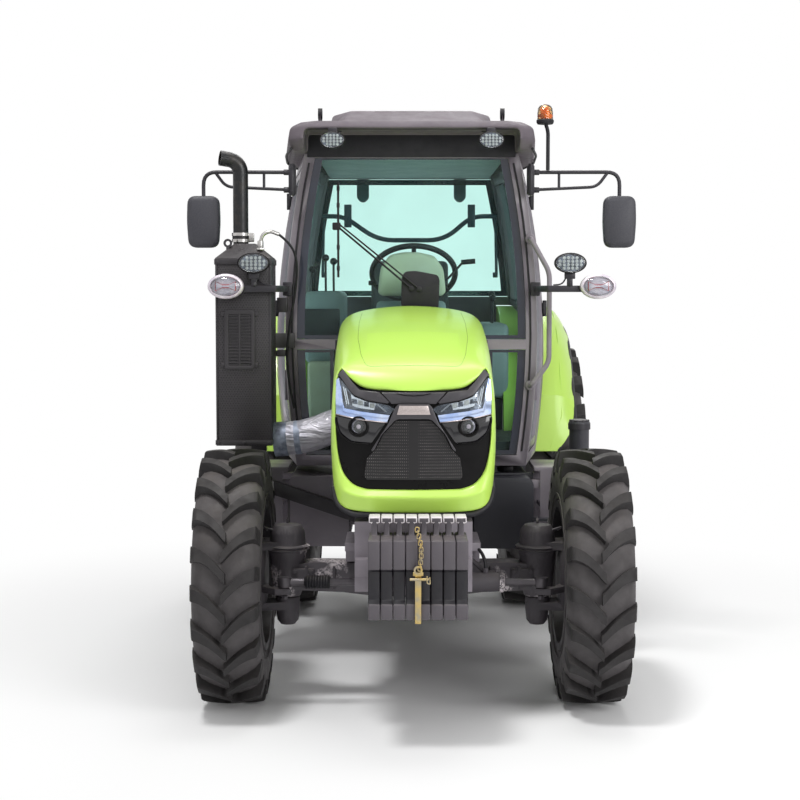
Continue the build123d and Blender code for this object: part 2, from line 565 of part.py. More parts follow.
def cab_inside():
    """Floor, seat, dash with its column, and the steering wheel."""
    front = CAB_FRONT_Y + 51
    core = cab_core(CAB_WALL + 0.3)
    deck = block(-700, 700, front, 220, FLOOR_Z - 40, FLOOR_Z) & core
    middle = block(-490, 490, 220, 360, FLOOR_Z - 40, FLOOR_Z)
    riser = block(-490, 490, 330, 360, FLOOR_Z - 40, SHELF_Z)
    shelf = block(-490, 490, 330, CAB_REAR_Y - 46, SHELF_Z - 30, SHELF_Z)
    feet = [Pos(s * 130, -300, (935 + FLOOR_Z - 40) / 2) * Cylinder(42, FLOOR_Z - 40 - 935) for s in (-1, 1)]
    feet += [Pos(s * 130, 800, (1000 + SHELF_Z - 30) / 2) * Cylinder(42, SHELF_Z - 30 - 1000) for s in (-1, 1)]
    keep("cab_floor", fused(deck, middle, riser, shelf, *feet))
    cushion = block(-240, 240, 380, 850, 1420, 1540)
    back = plate_yz([(800, 1540), (895, 1966), (830, 1976), (740, 1540)], -220, 220)
    base = plate_yz([(440, 1220), (480, 1420), (780, 1420), (820, 1220)], -170, 170)
    keep("driver_seat", fused(cushion, back, base))
    dash = plate_yz([(front + 1, 1100), (front + 1, 1640), (-300, 1760), (-190, 1740), (-170, 1640), (-240, 1500),
                     (-240, 1061), (front + 60, 1061)], -190, 190)
    axis = Vector(0, sin(radians(40)), cos(radians(40)))
    hub = Vector(15, 40, 1880)
    start = hub - axis * 330
    column = rod(tuple(start), tuple(hub - axis * 40), 34)
    keep("dash_console", dash + column)
    tilt = Plane(origin=hub, z_dir=axis, x_dir=(1, 0, 0))
    ring = tilt * Torus(212, 15)
    spokes = [tilt * Rot(0, 0, a) * Pos(106, 0, -8) * Box(212, 34, 12) for a in (-90, 30, 150)]
    boss = tilt * Pos(0, 0, -14) * Cylinder(44, 44)
    keep("steering_wheel", fused(ring, *spokes, boss))


def fenders():
    """Rear wings: an arched top from the cab wall out over the tyre, and an upright inner wall."""
    line, arch = FENDER_LINE, fender_line(FENDER_WALL)
    top = plate_yz(line + arch[::-1], WING_INNER_X, WING_OUTER_X)
    lip = plate_yz(fender_line(-24) + arch[::-1], WING_OUTER_X - 10, WING_OUTER_X)
    wall = plate_yz(line + [(1300, 1010), (REAR_AXLE_Y, 1000), (700, 1010), (320, 950)], WING_INNER_X, WING_INNER_X + 10)
    wing = fused(top, lip, wall)
    keep("fenders", both(wing))


# ---------------------------------------------------------------- rear linkage
def about_x(shape, pivot, angle):
    """A piece turned about a line along X; a positive angle lifts its rear."""
    y, z = pivot
    return Pos(0, y, z) * Rot(angle, 0, 0) * Pos(0, -y, -z) * shape


def linkage():
    """The three-point linkage: lower links, lift arms on their shaft, lift rods, top link, drawbar."""
    y, z = LINK_PIVOT
    eye_x = LINK_FRONT_X
    hang_x = eye_x + (LINK_BALL_X - eye_x) * LIFT_ARM / LINK_LENGTH
    bar = plate_xy([(eye_x - 11, y), (eye_x + 15, y), (LINK_BALL_X + 12, y + LINK_LENGTH), (LINK_BALL_X - 12, y + LINK_LENGTH)],
                   z - 28, z + 28)
    front_eye = rod((eye_x - 22, y, z), (eye_x + 22, y, z), 40)
    ball = rod((LINK_BALL_X - 22, y + LINK_LENGTH, z), (LINK_BALL_X + 22, y + LINK_LENGTH, z), 42)
    link = fused(bar, front_eye, ball)
    link = link - rod((0, y, z), (500, y, z), LINK_PIN + 0.3) - rod((200, y + LIFT_ARM, z), (400, y + LIFT_ARM, z), 10.5)
    link = link - rod((300, y + LINK_LENGTH, z), (500, y + LINK_LENGTH, z), BALL_BORE)
    keep("lower_links", both(about_x(link, LINK_PIVOT, -LINK_REST)))

    y, z = LIFT_PIVOT
    shaft = rod((-hang_x, y, z), (hang_x, y, z), LIFT_SHAFT)
    arms = []
    for s in (-1, 1):
        hub = rod((s * 196, y, z), (s * (hang_x + 12), y, z), 52)
        arm = plate_yz([(y, z - 44), (y, z + 44), (y + LIFT_ARM, z + 26), (y + LIFT_ARM, z - 26)], s * (hang_x - 12), s * (hang_x + 12))
        tip = rod((s * (hang_x - 12), y + LIFT_ARM, z), (s * (hang_x + 12), y + LIFT_ARM, z), 26)
        arms += [hub, arm, tip]
    lifter = fused(shaft, *arms) - rod((-400, y + LIFT_ARM, z), (400, y + LIFT_ARM, z), 10.5)
    keep("lift_arms", about_x(lifter, LIFT_PIVOT, -LINK_REST))

    rest = radians(LINK_REST)
    hang_y, drop = y + LIFT_ARM * cos(rest), LIFT_ARM * sin(rest)
    high, low = LIFT_PIVOT[1] - drop, LINK_PIVOT[1] - drop
    x = hang_x + 34
    rods = fused(rod((x, hang_y, low), (x, hang_y, high), 14), rod((x, hang_y, low + 150), (x, hang_y, high - 150), 21),
                 *[rod((x - 12, hang_y, at), (x + 12, hang_y, at), 26) for at in (low, high)],
                 *[rod((hang_x - 22, hang_y, at), (x, hang_y, at), 10) for at in (low, high)])
    keep("lift_rods", both(rods))

    y, z = TOP_PIVOT
    end = y + TOP_LENGTH
    top = fused(rod((-22, y, z), (22, y, z), 32), rod((-22, end, z), (22, end, z), 32), rod((0, y + 20, z), (0, end - 20, z), 14),
                rod((0, y + 130, z), (0, end - 130, z), 21))
    keep("top_link", top - rod((-30, y, z), (30, y, z), TOP_BORE) - rod((-30, end, z), (30, end, z), TOP_BORE))
    tongue = fused(block(-36, 36, 900, 1600, 388, 422), Pos(0, 1600, 405) * Cylinder(36, 34),
                   block(-60, 60, 920, 980, 422, 430), block(-60, 60, 1160, 1220, 422, 430))
    keep("drawbar", tongue - Pos(0, 1600, 405) * Cylinder(16.25, 60))


# ---------------------------------------------------------------- exhaust side
EXHAUST_BOX = dict(x0=-905, x1=-648, y0=-750, y1=-480, z0=1075, z1=1942)
LOUVRES = dict(x0=-861, x1=-743, z0=1441, z1=1703, rows=16)     # slotted panel on the box's front
PIPE_RADIUS = 60


def exhaust():
    """The tall perforated box on the right, its stack, the wrapped pipe from the engine, its carrier."""
    b = EXHAUST_BOX
    body = block(b["x0"], b["x1"], b["y0"], b["y1"], b["z0"], b["z1"])
    cx, cy = (b["x0"] + b["x1"]) / 2, (b["y0"] + b["y1"]) / 2
    base = Pos(cx, cy, b["z1"]) * Rectangle(b["x1"] - b["x0"], b["y1"] - b["y0"])
    neck = Pos(cx, cy, 2011) * Rectangle(96, 96)
    lid = loft([base, neck], ruled=True)
    pocket = block(b["x0"] + 6, b["x1"] - 6, b["y0"] + 6, b["y1"] - 6, b["z0"] - 5, b["z1"] - 6)
    can = Pos(cx, cy, (b["z0"] + 30 + b["z1"]) / 2) * Cylinder(104, b["z1"] - b["z0"] - 30)
    whole = body + lid - pocket + can
    panel = block(LOUVRES["x0"], LOUVRES["x1"], b["y0"] - 5, b["y0"] + 3, LOUVRES["z0"], LOUVRES["z1"])
    middle = (LOUVRES["x0"] + LOUVRES["x1"]) / 2
    pitch = (LOUVRES["z1"] - LOUVRES["z0"] - 20) / LOUVRES["rows"]
    slots = []
    for k in range(LOUVRES["rows"]):
        z = LOUVRES["z0"] + 10 + pitch * k
        slots += [block(middle + s * 4, middle + s * 50, b["y0"] - 10, b["y0"] + 10, z + 4, z + pitch - 4) for s in (-1, 1)]
    whole = whole + panel - Compound(children=slots)
    support = plate_xz([(-238.5, 682), (-238.5, 748), (-700, 905), (-700, 838)], -572, -522)
    post = block(-760, -690, -572, -522, 838, b["z0"])
    cross = block(-800, -655, -600, -500, b["z0"] - 8, b["z0"])
    bracket = block(-648, -560, -500, -482, 1520, 1590) + block(-580, -560, -500, -450.3, 1520, 1590)
    can_foot = block(-780, -690, -600, -500, b["z0"], b["z0"] + 40)
    keep("exhaust_box", fused(whole, can_foot, post, cross, support, bracket))

    x, y = -800, cy + 10
    outer = pipe([(x, y, 1994), (x, y, 2395), (x - 92, y - 30, 2408)], 35.5, 62)
    outer = outer - pipe([(x, y, 2200), (x, y, 2395), (x - 95.7, y - 31.2, 2408.5)], 31.5, 62)
    collar = Pos(x, y, 2040) * Cylinder(40, 30)
    foot = block(x - 40, x + 40, y - 40, y + 40, 1984, 1996)
    keep("exhaust_stack", (outer + collar) - body - lid)

    run = pipe([(-177.5, -640, 1192), (-380, -640, 1188), (-520, -615, 1140), (-647.5, -615, 1140)], PIPE_RADIUS, 50)
    keep("exhaust_pipe", run)


# ---------------------------------------------------------------- fittings outside
def oval(x, y0, y1, z, half_x, half_z):
    """An oval body, its flat faces in front and behind."""
    face = Plane(origin=(x, y0, z), x_dir=(1, 0, 0), z_dir=(0, -1, 0)) * Ellipse(half_x, half_z)
    return extrude(face, amount=y1 - y0, dir=(0, 1, 0))


def fittings():
    """Mirrors, lamps, beacon, grab rail, steps, tank and battery box."""
    y = -500
    upper = pipe([(572, y + 14, 2353), (986, y, 2353), (986, y, 2200)], 9, 45)
    lower = pipe([(572, y + 14, 2270), (880, y + 4, 2288), (912, y + 2, 2350)], 8, 25)
    brace = rod((700, y + 10, 2276), (700, y + 10, 2352), 7)
    lug = block(548, 584, y - 4, -450.3, 2250, 2384)
    head = fillet((Pos(986, y + 4, 2118) * Box(155, 52, 250)).edges().filter_by(Axis.Y), 30)
    keep("mirrors", both(fused(upper, lower, brace, lug, head)))

    lamp_y = -800
    arm = plate_xy([(572, -450.3), (602, -450.3), (632, lamp_y + 30), (636, lamp_y + 8), (850, lamp_y + 8), (850, lamp_y),
                    (620, lamp_y), (608, lamp_y + 20)], 1788, 1814)
    marker = oval(850, lamp_y - 30, lamp_y + 30, 1812, 82, 57)
    flood = oval(722, lamp_y - 30, lamp_y + 24, 1918, 72, 45)
    stalk = block(712, 732, lamp_y - 6, lamp_y + 14, 1812, 1880)
    keep("side_lamps", both(fused(arm, marker, flood, stalk)))

    roof_lamp = oval(365, -742, -650, 2482, 59, 37) + block(350, 380, -700, -670, 2482, VISOR_Z + 10)
    keep("roof_lamps", both(roof_lamp - parts["cab_roof"]))

    post = pipe([(646, -497, 2362.3), (646, -497, 2560), (634, -497, 2590)], 9, 20)
    puck = Pos(632, -497, 2592) * Cylinder(41, 18)
    dome = turned_z([(0, 0), (38, 0), (38, 30), (32, 58), (0, 70)], 632, -497, 2601)
    keep("beacon", fused(post, puck, dome))

    rail = pipe([(568, -450.3, 2040), (568, -498, 2040), (657, -498, 1880), (657, -498, 1450), (572, -498, 1338),
                 (572, -450.3, 1338)], 12, 20)
    keep("grab_rail", rail)

    tank = fillet(block(300, 585, -540, 205, 560, 900).edges().filter_by(Axis.Y), 40)
    strap = [block(292, 593, at, at + 40, 552, 908) for at in (-400, 60)]
    hanger = block(166, 300, -300, -220, 640, 720) + block(166, 300, 100, 160, 640, 720)
    can_plate = block(585, 850, -530, -480, 690, 702)
    can = Pos(800, -535, 925) * Cylinder(47, 446)
    collar = Pos(800, -535, 1154) * Cylinder(51, 30)
    keep("fuel_tank", fused(tank, *strap, hanger, can_plate, can, collar))

    box = fillet(block(-585, -300, -470, 205, 560, 900).edges().filter_by(Axis.Y), 16)
    box_hanger = block(-300, -166, -300, -220, 640, 720) + block(-300, -166, 100, 160, 640, 720)
    ladders = []
    for s in (1, -1):
        sides = [block(s * 622, s * 800, at, at + 8, 380, 940) for at in (-462, -118)]
        treads = [block(s * (640 + 24 * k), s * 800, -462, -110, 720 - 165 * k, 738 - 165 * k) for k in range(3)]
        top = block(s * 594, s * 800, -462, -110, 925, 943)
        ties = [block(s * 585, s * 640, at, at + 40, 840, 880) for at in (-450, -150)]
        ladders.append(fused(*sides, *treads, top, *ties))
    keep("steps", fused(box, box_hanger, ladders[1]), ladders[0] - parts["fuel_tank"])


def glass_and_wing_fittings():
    """The wiper on the windscreen and the tail lamps on the wings."""
    pane_y = CAB_FRONT_Y + 22
    cover = plate_xz([(-42, 1712), (-50, 1730), (-44, 1880), (-30, 1888), (128, 1872), (136, 1850), (130, 1712)],
                     pane_y - 26, pane_y - 0.3)
    arms = [rod((0, pane_y - 30, 1803), (-352, pane_y - 22, 2098), 5), rod((38, pane_y - 30, 1800), (-340, pane_y - 22, 2112), 4)]
    pins = [rod((x, pane_y - 36, z), (x, pane_y - 20, z), 12) for x, z in ((0, 1803), (38, 1800))]
    hub = block(-372, -330, pane_y - 27, pane_y - 12, 2078, 2124)
    blade = block(-356, -344, pane_y - 22, pane_y - 0.3, 1860, 2310)
    keep("wiper", fused(cover, *pins, *arms, hub, blade))
    under_arch = plate_yz(fender_line(FENDER_WALL + 0.3) + [(1740, 900), (232, 900)], 500, 900)
    lamp = block(660, 830, 1545, 1612, 1440, 1560) - under_arch
    keep("tail_lamps", both(lamp))


def finish():
    """Writes one file for each node."""
    os.makedirs("parts", exist_ok=True)
    for name, shape in parts.items():
        export_step(shape, f"parts/{name}.step")


wheels()
front_axle()
left_knuckle = knuckle()
keep("knuckle_left", left_knuckle)
keep("knuckle_right", flipped(left_knuckle))
steering()
front_support()
front_weights()
driveline()
hood()
cab()
roof()
cab_inside()
fenders()
linkage()
exhaust()
fittings()
glass_and_wing_fittings()
finish()
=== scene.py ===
import sys

import json
from math import cos, hypot, pi, radians, sin, sqrt

import bpy
from mathutils import Matrix, Vector
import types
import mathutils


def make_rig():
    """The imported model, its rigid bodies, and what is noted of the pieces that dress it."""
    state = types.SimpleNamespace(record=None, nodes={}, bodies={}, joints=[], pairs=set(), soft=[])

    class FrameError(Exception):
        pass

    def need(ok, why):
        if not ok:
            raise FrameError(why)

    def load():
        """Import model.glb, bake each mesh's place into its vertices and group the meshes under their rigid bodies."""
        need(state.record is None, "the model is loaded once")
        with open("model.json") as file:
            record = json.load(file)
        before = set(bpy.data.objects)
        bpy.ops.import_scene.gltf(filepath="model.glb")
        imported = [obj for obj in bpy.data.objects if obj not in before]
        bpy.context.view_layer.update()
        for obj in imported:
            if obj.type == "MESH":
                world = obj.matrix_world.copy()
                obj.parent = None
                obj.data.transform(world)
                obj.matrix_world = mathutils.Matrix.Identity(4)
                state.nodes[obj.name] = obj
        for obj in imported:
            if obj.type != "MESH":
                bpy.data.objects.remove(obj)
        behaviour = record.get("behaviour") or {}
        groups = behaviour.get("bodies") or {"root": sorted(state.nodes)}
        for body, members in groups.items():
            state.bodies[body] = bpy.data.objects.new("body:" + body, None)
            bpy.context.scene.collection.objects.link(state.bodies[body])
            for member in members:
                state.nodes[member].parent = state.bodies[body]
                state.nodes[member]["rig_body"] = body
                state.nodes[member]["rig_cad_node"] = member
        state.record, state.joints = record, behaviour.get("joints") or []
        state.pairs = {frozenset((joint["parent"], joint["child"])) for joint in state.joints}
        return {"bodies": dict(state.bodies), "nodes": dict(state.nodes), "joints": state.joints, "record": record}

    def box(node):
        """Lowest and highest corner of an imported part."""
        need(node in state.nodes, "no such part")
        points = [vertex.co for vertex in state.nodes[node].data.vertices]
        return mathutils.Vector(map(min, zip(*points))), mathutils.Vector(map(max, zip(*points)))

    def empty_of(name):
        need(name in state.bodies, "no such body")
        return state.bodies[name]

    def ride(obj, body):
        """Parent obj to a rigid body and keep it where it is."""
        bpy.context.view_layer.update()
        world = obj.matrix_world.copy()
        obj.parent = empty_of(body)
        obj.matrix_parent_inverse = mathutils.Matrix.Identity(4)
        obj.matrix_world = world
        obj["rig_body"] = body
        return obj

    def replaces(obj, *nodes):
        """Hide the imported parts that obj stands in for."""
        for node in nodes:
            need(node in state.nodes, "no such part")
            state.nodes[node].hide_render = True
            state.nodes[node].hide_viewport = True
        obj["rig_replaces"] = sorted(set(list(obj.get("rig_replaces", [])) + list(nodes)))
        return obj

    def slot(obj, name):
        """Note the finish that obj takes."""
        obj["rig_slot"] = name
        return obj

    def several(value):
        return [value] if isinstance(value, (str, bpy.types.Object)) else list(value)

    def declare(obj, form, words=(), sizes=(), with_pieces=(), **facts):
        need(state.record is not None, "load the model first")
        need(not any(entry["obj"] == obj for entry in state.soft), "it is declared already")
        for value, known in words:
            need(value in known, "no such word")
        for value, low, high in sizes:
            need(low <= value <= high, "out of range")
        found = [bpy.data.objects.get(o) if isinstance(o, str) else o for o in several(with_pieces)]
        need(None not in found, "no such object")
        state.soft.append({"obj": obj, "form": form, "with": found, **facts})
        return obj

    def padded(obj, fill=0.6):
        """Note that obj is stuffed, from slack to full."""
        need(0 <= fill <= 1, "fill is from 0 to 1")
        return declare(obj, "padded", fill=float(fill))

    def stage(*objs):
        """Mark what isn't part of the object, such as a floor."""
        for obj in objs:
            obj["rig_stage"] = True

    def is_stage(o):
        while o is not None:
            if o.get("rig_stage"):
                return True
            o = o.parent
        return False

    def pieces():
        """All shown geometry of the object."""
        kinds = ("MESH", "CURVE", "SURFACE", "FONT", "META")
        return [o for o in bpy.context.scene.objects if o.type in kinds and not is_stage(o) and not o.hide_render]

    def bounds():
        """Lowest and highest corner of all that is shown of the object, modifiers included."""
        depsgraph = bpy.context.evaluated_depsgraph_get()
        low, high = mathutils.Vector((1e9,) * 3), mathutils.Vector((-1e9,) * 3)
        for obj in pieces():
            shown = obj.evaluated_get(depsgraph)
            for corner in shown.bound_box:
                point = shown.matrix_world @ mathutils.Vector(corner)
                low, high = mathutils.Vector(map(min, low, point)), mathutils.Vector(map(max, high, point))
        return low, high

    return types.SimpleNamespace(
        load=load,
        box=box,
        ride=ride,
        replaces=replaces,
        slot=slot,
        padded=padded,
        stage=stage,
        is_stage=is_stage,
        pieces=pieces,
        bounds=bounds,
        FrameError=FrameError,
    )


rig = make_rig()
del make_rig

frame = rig.load()
CAD_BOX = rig.bounds()

bl_info = {
    "name": "Farm tractor",
    "version": (1, 0, 0),
    "blender": (4, 5, 0),
    "location": "View3D > Sidebar > Tractor",
    "description": "Dresses a packed farm tractor with its tyres, bodywork, cab, lamps and finishes",
    "category": "Object",
}

WHEEL_RADIUS = {"front": 0.5525, "rear": 0.7375}
FRONT_AXLE_Y = -1.2
STEERING_HUB = Vector((0.015, 0.04, 1.88))
STEERING_TILT = radians(40)
NODES = frame["nodes"]
BODY_OF = {node: body for body, members in frame["record"]["behaviour"]["bodies"].items() for node in members}
SIDES = (1, -1)


# ---------------------------------------------------------------- working on objects
def clear():
    """Leaves edit mode and selects nothing."""
    if bpy.context.object and bpy.context.object.mode != "OBJECT":
        bpy.ops.object.mode_set(mode="OBJECT")
    bpy.ops.object.select_all(action="DESELECT")


def only(obj):
    """Selects one object and makes it active."""
    clear()
    obj.select_set(True)
    bpy.context.view_layer.objects.active = obj
    return obj


def edit(obj, kind="VERT", everything=True):
    """Goes into edit mode, with all of the mesh selected or none."""
    only(obj)
    bpy.ops.object.mode_set(mode="EDIT")
    bpy.ops.mesh.select_mode(type=kind)
    bpy.ops.mesh.select_all(action="SELECT" if everything else "DESELECT")
    return obj


def done():
    bpy.ops.object.mode_set(mode="OBJECT")


def pick(obj, test, kind="FACE"):
    """Goes into edit mode with the faces, edges or corners selected whose place passes a test."""
    edit(obj, kind, False)
    done()
    mesh = obj.data
    if kind == "FACE":
        for face in mesh.polygons:
            face.select = test(face.center, face.normal)
    elif kind == "EDGE":
        for edge in mesh.edges:
            a, b = (mesh.vertices[i].co for i in edge.vertices)
            edge.select = test(a, b)
    else:
        for vert in mesh.vertices:
            vert.select = test(vert.co)
    bpy.ops.object.mode_set(mode="EDIT")
    return obj


def settle(obj):
    """Puts the object's place, turn and scale into its mesh."""
    only(obj)
    bpy.ops.object.transform_apply(location=True, rotation=True, scale=True)
    return obj


def outward(obj):
    """Merges doubled corners and turns the faces outwards."""
    edit(obj)
    bpy.ops.mesh.remove_doubles(threshold=0.00002)
    bpy.ops.mesh.normals_make_consistent(inside=False)
    done()
    return obj


def modify(obj, kind, **settings):
    """Adds a modifier, sets it and applies it."""
    only(obj)
    modifier = obj.modifiers.new(kind.title(), kind)
    for key, value in settings.items():
        setattr(modifier, key, value)
    bpy.ops.object.modifier_apply(modifier=modifier.name)
    return obj


def soften(obj, width, segments=2, angle=32):
    """Rounds the sharp edges."""
    return modify(obj, "BEVEL", width=width, segments=segments, limit_method="ANGLE",
        angle_limit=radians(angle), use_clamp_overlap=True, harden_normals=False)


def smooth(obj, angle=35):
    only(obj)
    bpy.ops.object.shade_smooth_by_angle(angle=radians(angle))
    return obj


def joined(name, objs):
    """Makes one object from several."""
    objs = [o for o in objs if o]
    clear()
    for obj in objs:
        obj.select_set(True)
    bpy.context.view_layer.objects.active = objs[0]
    if len(objs) > 1:
        bpy.ops.object.join()
    obj = bpy.context.view_layer.objects.active
    obj.name = name
    return obj


def copied(obj, move=(0, 0, 0), turn=0.0, axis="Z", flip=False):
    """A copy with its own mesh, turned about the origin and moved, or mirrored to the other side."""
    only(obj)
    bpy.ops.object.duplicate(linked=False)
    twin = bpy.context.view_layer.objects.active
    matrix = Matrix.Translation(move) @ Matrix.Rotation(turn, 4, axis)
    if flip:
        matrix = Matrix.Diagonal((-1, 1, 1, 1)) @ matrix
    twin.matrix_world = matrix @ twin.matrix_world
    settle(twin)
    if flip:
        edit(twin)
        bpy.ops.mesh.normals_make_consistent(inside=False)
        done()
    return twin


def piece(obj, name, finish, slot, node=None, on=None, angle=35):
    """Gives a piece its name, finish and slot, and the body of the node that it replaces or sits on.

    A list of parts is joined first, and smoothed by the angle."""
    if isinstance(obj, list):
        obj = joined(name, obj)
        if angle:
            smooth(obj, angle)
    settle(obj)
    obj.name = name
    obj.data.name = name
    if finish:
        painted(obj, finish)
    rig.ride(obj, BODY_OF.get(on or node, "chassis"))
    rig.slot(obj, slot)
    if node:
        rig.replaces(obj, node)
    return obj


def painted(obj, *finishes):
    """Gives a part its own materials, before or after it is joined to others."""
    obj.data.materials.clear()
    for key in finishes:
        obj.data.materials.append(F[key])
    return obj


def dropped(*objs):
    """Takes away parts that were only models for their copies."""
    for obj in objs:
        bpy.data.objects.remove(obj)


# ---------------------------------------------------------------- shapes to start from
def unit(axis):
    """The unit vector of an axis given by its letter."""
    return Vector([float(a == axis) for a in "XYZ"])


def slab(lo, hi, width=0.0, segments=2):
    """A box between two corners with rounded edges."""
    lo, hi = Vector(lo), Vector(hi)
    bpy.ops.mesh.primitive_cube_add(size=1, location=(lo + hi) / 2, scale=hi - lo)
    obj = settle(bpy.context.object)
    if width:
        edit(obj, "EDGE")
        bpy.ops.mesh.bevel(offset=width, segments=segments, affect="EDGES", clamp_overlap=True)
        done()
    return obj


def drum(at, radius, depth, axis="Z", vertices=32, width=0.0):
    """A round bar with bevelled rims."""
    turn = {"X": (0, pi / 2, 0), "Y": (-pi / 2, 0, 0), "Z": (0, 0, 0)}[axis]
    bpy.ops.mesh.primitive_cylinder_add(vertices=vertices, radius=radius, depth=depth, location=at,
        rotation=turn)
    obj = settle(bpy.context.object)
    if width:
        pick(obj, lambda c, n: abs(n.dot(unit(axis))) > 0.99)
        bpy.ops.mesh.bevel(offset=width, segments=2, affect="EDGES")
        done()
    return obj


def corner(before, here, after, radius, share, steps):
    """A curve that cuts a corner, no further along either leg than a share of its length."""
    a, b = before - here, after - here
    reach = min(radius, share * a.length, share * b.length)
    p, q = here + a.normalized() * reach, here + b.normalized() * reach
    return [p * (1 - k / steps) ** 2 + here * 2 * (k / steps) * (1 - k / steps) + q * (k / steps) ** 2
        for k in range(steps + 1)]


def rounded(points, radius, steps=4):
    """A closed outline with its corners rounded."""
    loop = [Vector(p) for p in points]
    return [tuple(p) for before, here, after in zip(loop[-1:] + loop, loop, loop[1:] + loop[:1])
        for p in corner(before, here, after, radius, 0.45, steps)]


def oval(half_a, half_b, at=(0, 0), steps=36):
    return [(at[0] + half_a * cos(2 * pi * k / steps), at[1] + half_b * sin(2 * pi * k / steps))
        for k in range(steps)]


def plate(points, start, depth, axis="Y"):
    """An outline drawn square to an axis, filled, and extruded along it."""
    place = {"X": lambda a, b: (start, a, b), "Y": lambda a, b: (a, start, b), "Z": lambda a,
        b: (a, b, start)}[axis]
    bpy.ops.mesh.primitive_circle_add(vertices=len(points), radius=1, fill_type="NGON")
    obj = bpy.context.object
    for vert, (a, b) in zip(obj.data.vertices, points):
        vert.co = place(a, b)
    obj.data.update()
    if depth:
        edit(obj, "FACE")
        bpy.ops.mesh.extrude_region_move(TRANSFORM_OT_translate={"value": unit(axis) * depth})
        bpy.ops.mesh.select_all(action="SELECT")
        bpy.ops.mesh.normals_make_consistent(inside=False)
        done()
    return obj


def turned(profile, centre, axis="X", steps=64):
    """A closed profile of (place along the axis, radius) points spun about the axis through a centre."""
    bpy.ops.mesh.primitive_circle_add(vertices=len(profile), radius=1, fill_type="NOTHING")
    obj = bpy.context.object
    cx, cy, cz = centre
    for vert, (along, out) in zip(obj.data.vertices, profile):
        vert.co = {"X": (cx + along, cy, cz + out), "Y": (cx, cy + along, cz + out),
            "Z": (cx + out, cy, cz + along)}[axis]
    edit(obj)
    bpy.ops.mesh.spin(steps=steps, angle=2 * pi, center=centre, axis=unit(axis))
    bpy.ops.mesh.select_all(action="SELECT")
    bpy.ops.mesh.remove_doubles(threshold=0.00002)
    bpy.ops.mesh.dissolve_degenerate(threshold=0.00001)
    bpy.ops.mesh.select_all(action="SELECT")
    bpy.ops.mesh.normals_make_consistent(inside=False)
    done()
    return obj


def surround(outer, inner, back, front):
    """A frame between two outlines in front view."""
    return skin([[(a, y, b) for a, b in line] for line, y in ((outer, back), (outer, front), (inner, front),
        (inner, back))], closed=True)


def hoop(at, inner, outer, half, axis, steps):
    """A plain ring of a square section about a point."""
    return turned([(-half, inner), (-half, outer), (half, outer), (half, inner)], at, axis, steps)


def rings(x, z, rows, wall=0.0):
    """A sheet through ovals round one point in front view: place along Y, half width, half height."""
    return skin([[(a, y, b) for a, b in oval(wide, high, (x, z))] for y, wide, high in rows], closed=True,
        wall=wall)


def bent(points, radius, steps=6):
    """A line of points in space with its inner corners rounded."""
    points = [Vector(p) for p in points]
    turns = [corner(*three, radius, 0.48, steps) for three in zip(points, points[1:], points[2:])]
    return [points[0]] + [p for turn in turns for p in turn] + [points[-1]]


def tube(points, radius, bend=0.03, sides=4, flowing=False):
    """A round bar or hose along a line of points."""
    line = [Vector(p) for p in points] if flowing else bent(points, bend)
    bpy.ops.curve.primitive_nurbs_path_add()
    obj = bpy.context.object
    curve = obj.data
    curve.splines.clear()
    spline = curve.splines.new("NURBS" if flowing else "POLY")
    spline.points.add(len(line) - 1)
    for point, co in zip(spline.points, line):
        point.co = (*co, 1)
    if flowing:
        spline.order_u = 3
        spline.use_endpoint_u = True
        curve.resolution_u = 8
    curve.dimensions = "3D"
    curve.bevel_depth = radius
    curve.bevel_resolution = sides
    curve.use_fill_caps = True
    only(obj)
    bpy.ops.object.convert(target="MESH")
    return outward(settle(bpy.context.object))


def skin(rows, closed=False, levels=0, wall=0.0):
    """A sheet through rows of points, smoothed, and given a wall inwards."""
    rows = [list(row) + ([row[0]] if closed else []) for row in rows]
    width = len(rows[0])
    bpy.ops.mesh.primitive_grid_add(x_subdivisions=width - 1, y_subdivisions=len(rows) - 1)
    obj = bpy.context.object
    for vert, place in zip(obj.data.vertices, [place for row in rows for place in row]):
        vert.co = place
    outward(settle(obj))
    if levels:
        modify(obj, "SUBSURF", levels=levels, render_levels=levels, use_limit_surface=False)
    if wall:
        modify(obj, "SOLIDIFY", thickness=wall, offset=-1.0)
    return obj


def dressed(node, width, angle=30, flat=1.0):
    """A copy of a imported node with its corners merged, its flats made whole and its edges rounded."""
    mesh = NODES[node].data.copy()
    obj = bpy.data.objects.new(node + "_dressed", mesh)
    bpy.context.scene.collection.objects.link(obj)
    mesh.materials.clear()
    edit(obj)
    bpy.ops.mesh.remove_doubles(threshold=0.00002)
    bpy.ops.mesh.dissolve_limited(angle_limit=radians(flat))
    done()
    if width:
        soften(obj, width, 2, angle)
    return smooth(obj, 35)


def eased(node, name, width, angle, key, slot):
    """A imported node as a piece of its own, with rounded edges."""
    return piece(dressed(node, width, angle), name, key, slot, node)


def bolts(places, radius, height, axis="Z"):
    """Bolt heads with washers, copied from one."""
    base = Vector(places[0])
    tall = abs(height)
    head = drum(base + unit(axis) * height * 0.55, radius, tall * 0.9, axis, 6, radius * 0.12)
    ring = drum(base + unit(axis) * height * 0.08, radius * 1.35, tall * 0.16, axis, 20, tall * 0.05)
    one = joined("bolt", [head, ring])
    rest = [copied(one, Vector(p) - base) for p in places[1:]]
    return joined("bolts", [one] + rest)


# ---------------------------------------------------------------- finishes
def add(tree, kind, settings=(), **inputs):
    """Adds a shader node; an input, by name or by _number, gets a value or a link."""
    return plugged(tree, tree.nodes.new("ShaderNode" + kind), settings, **inputs)


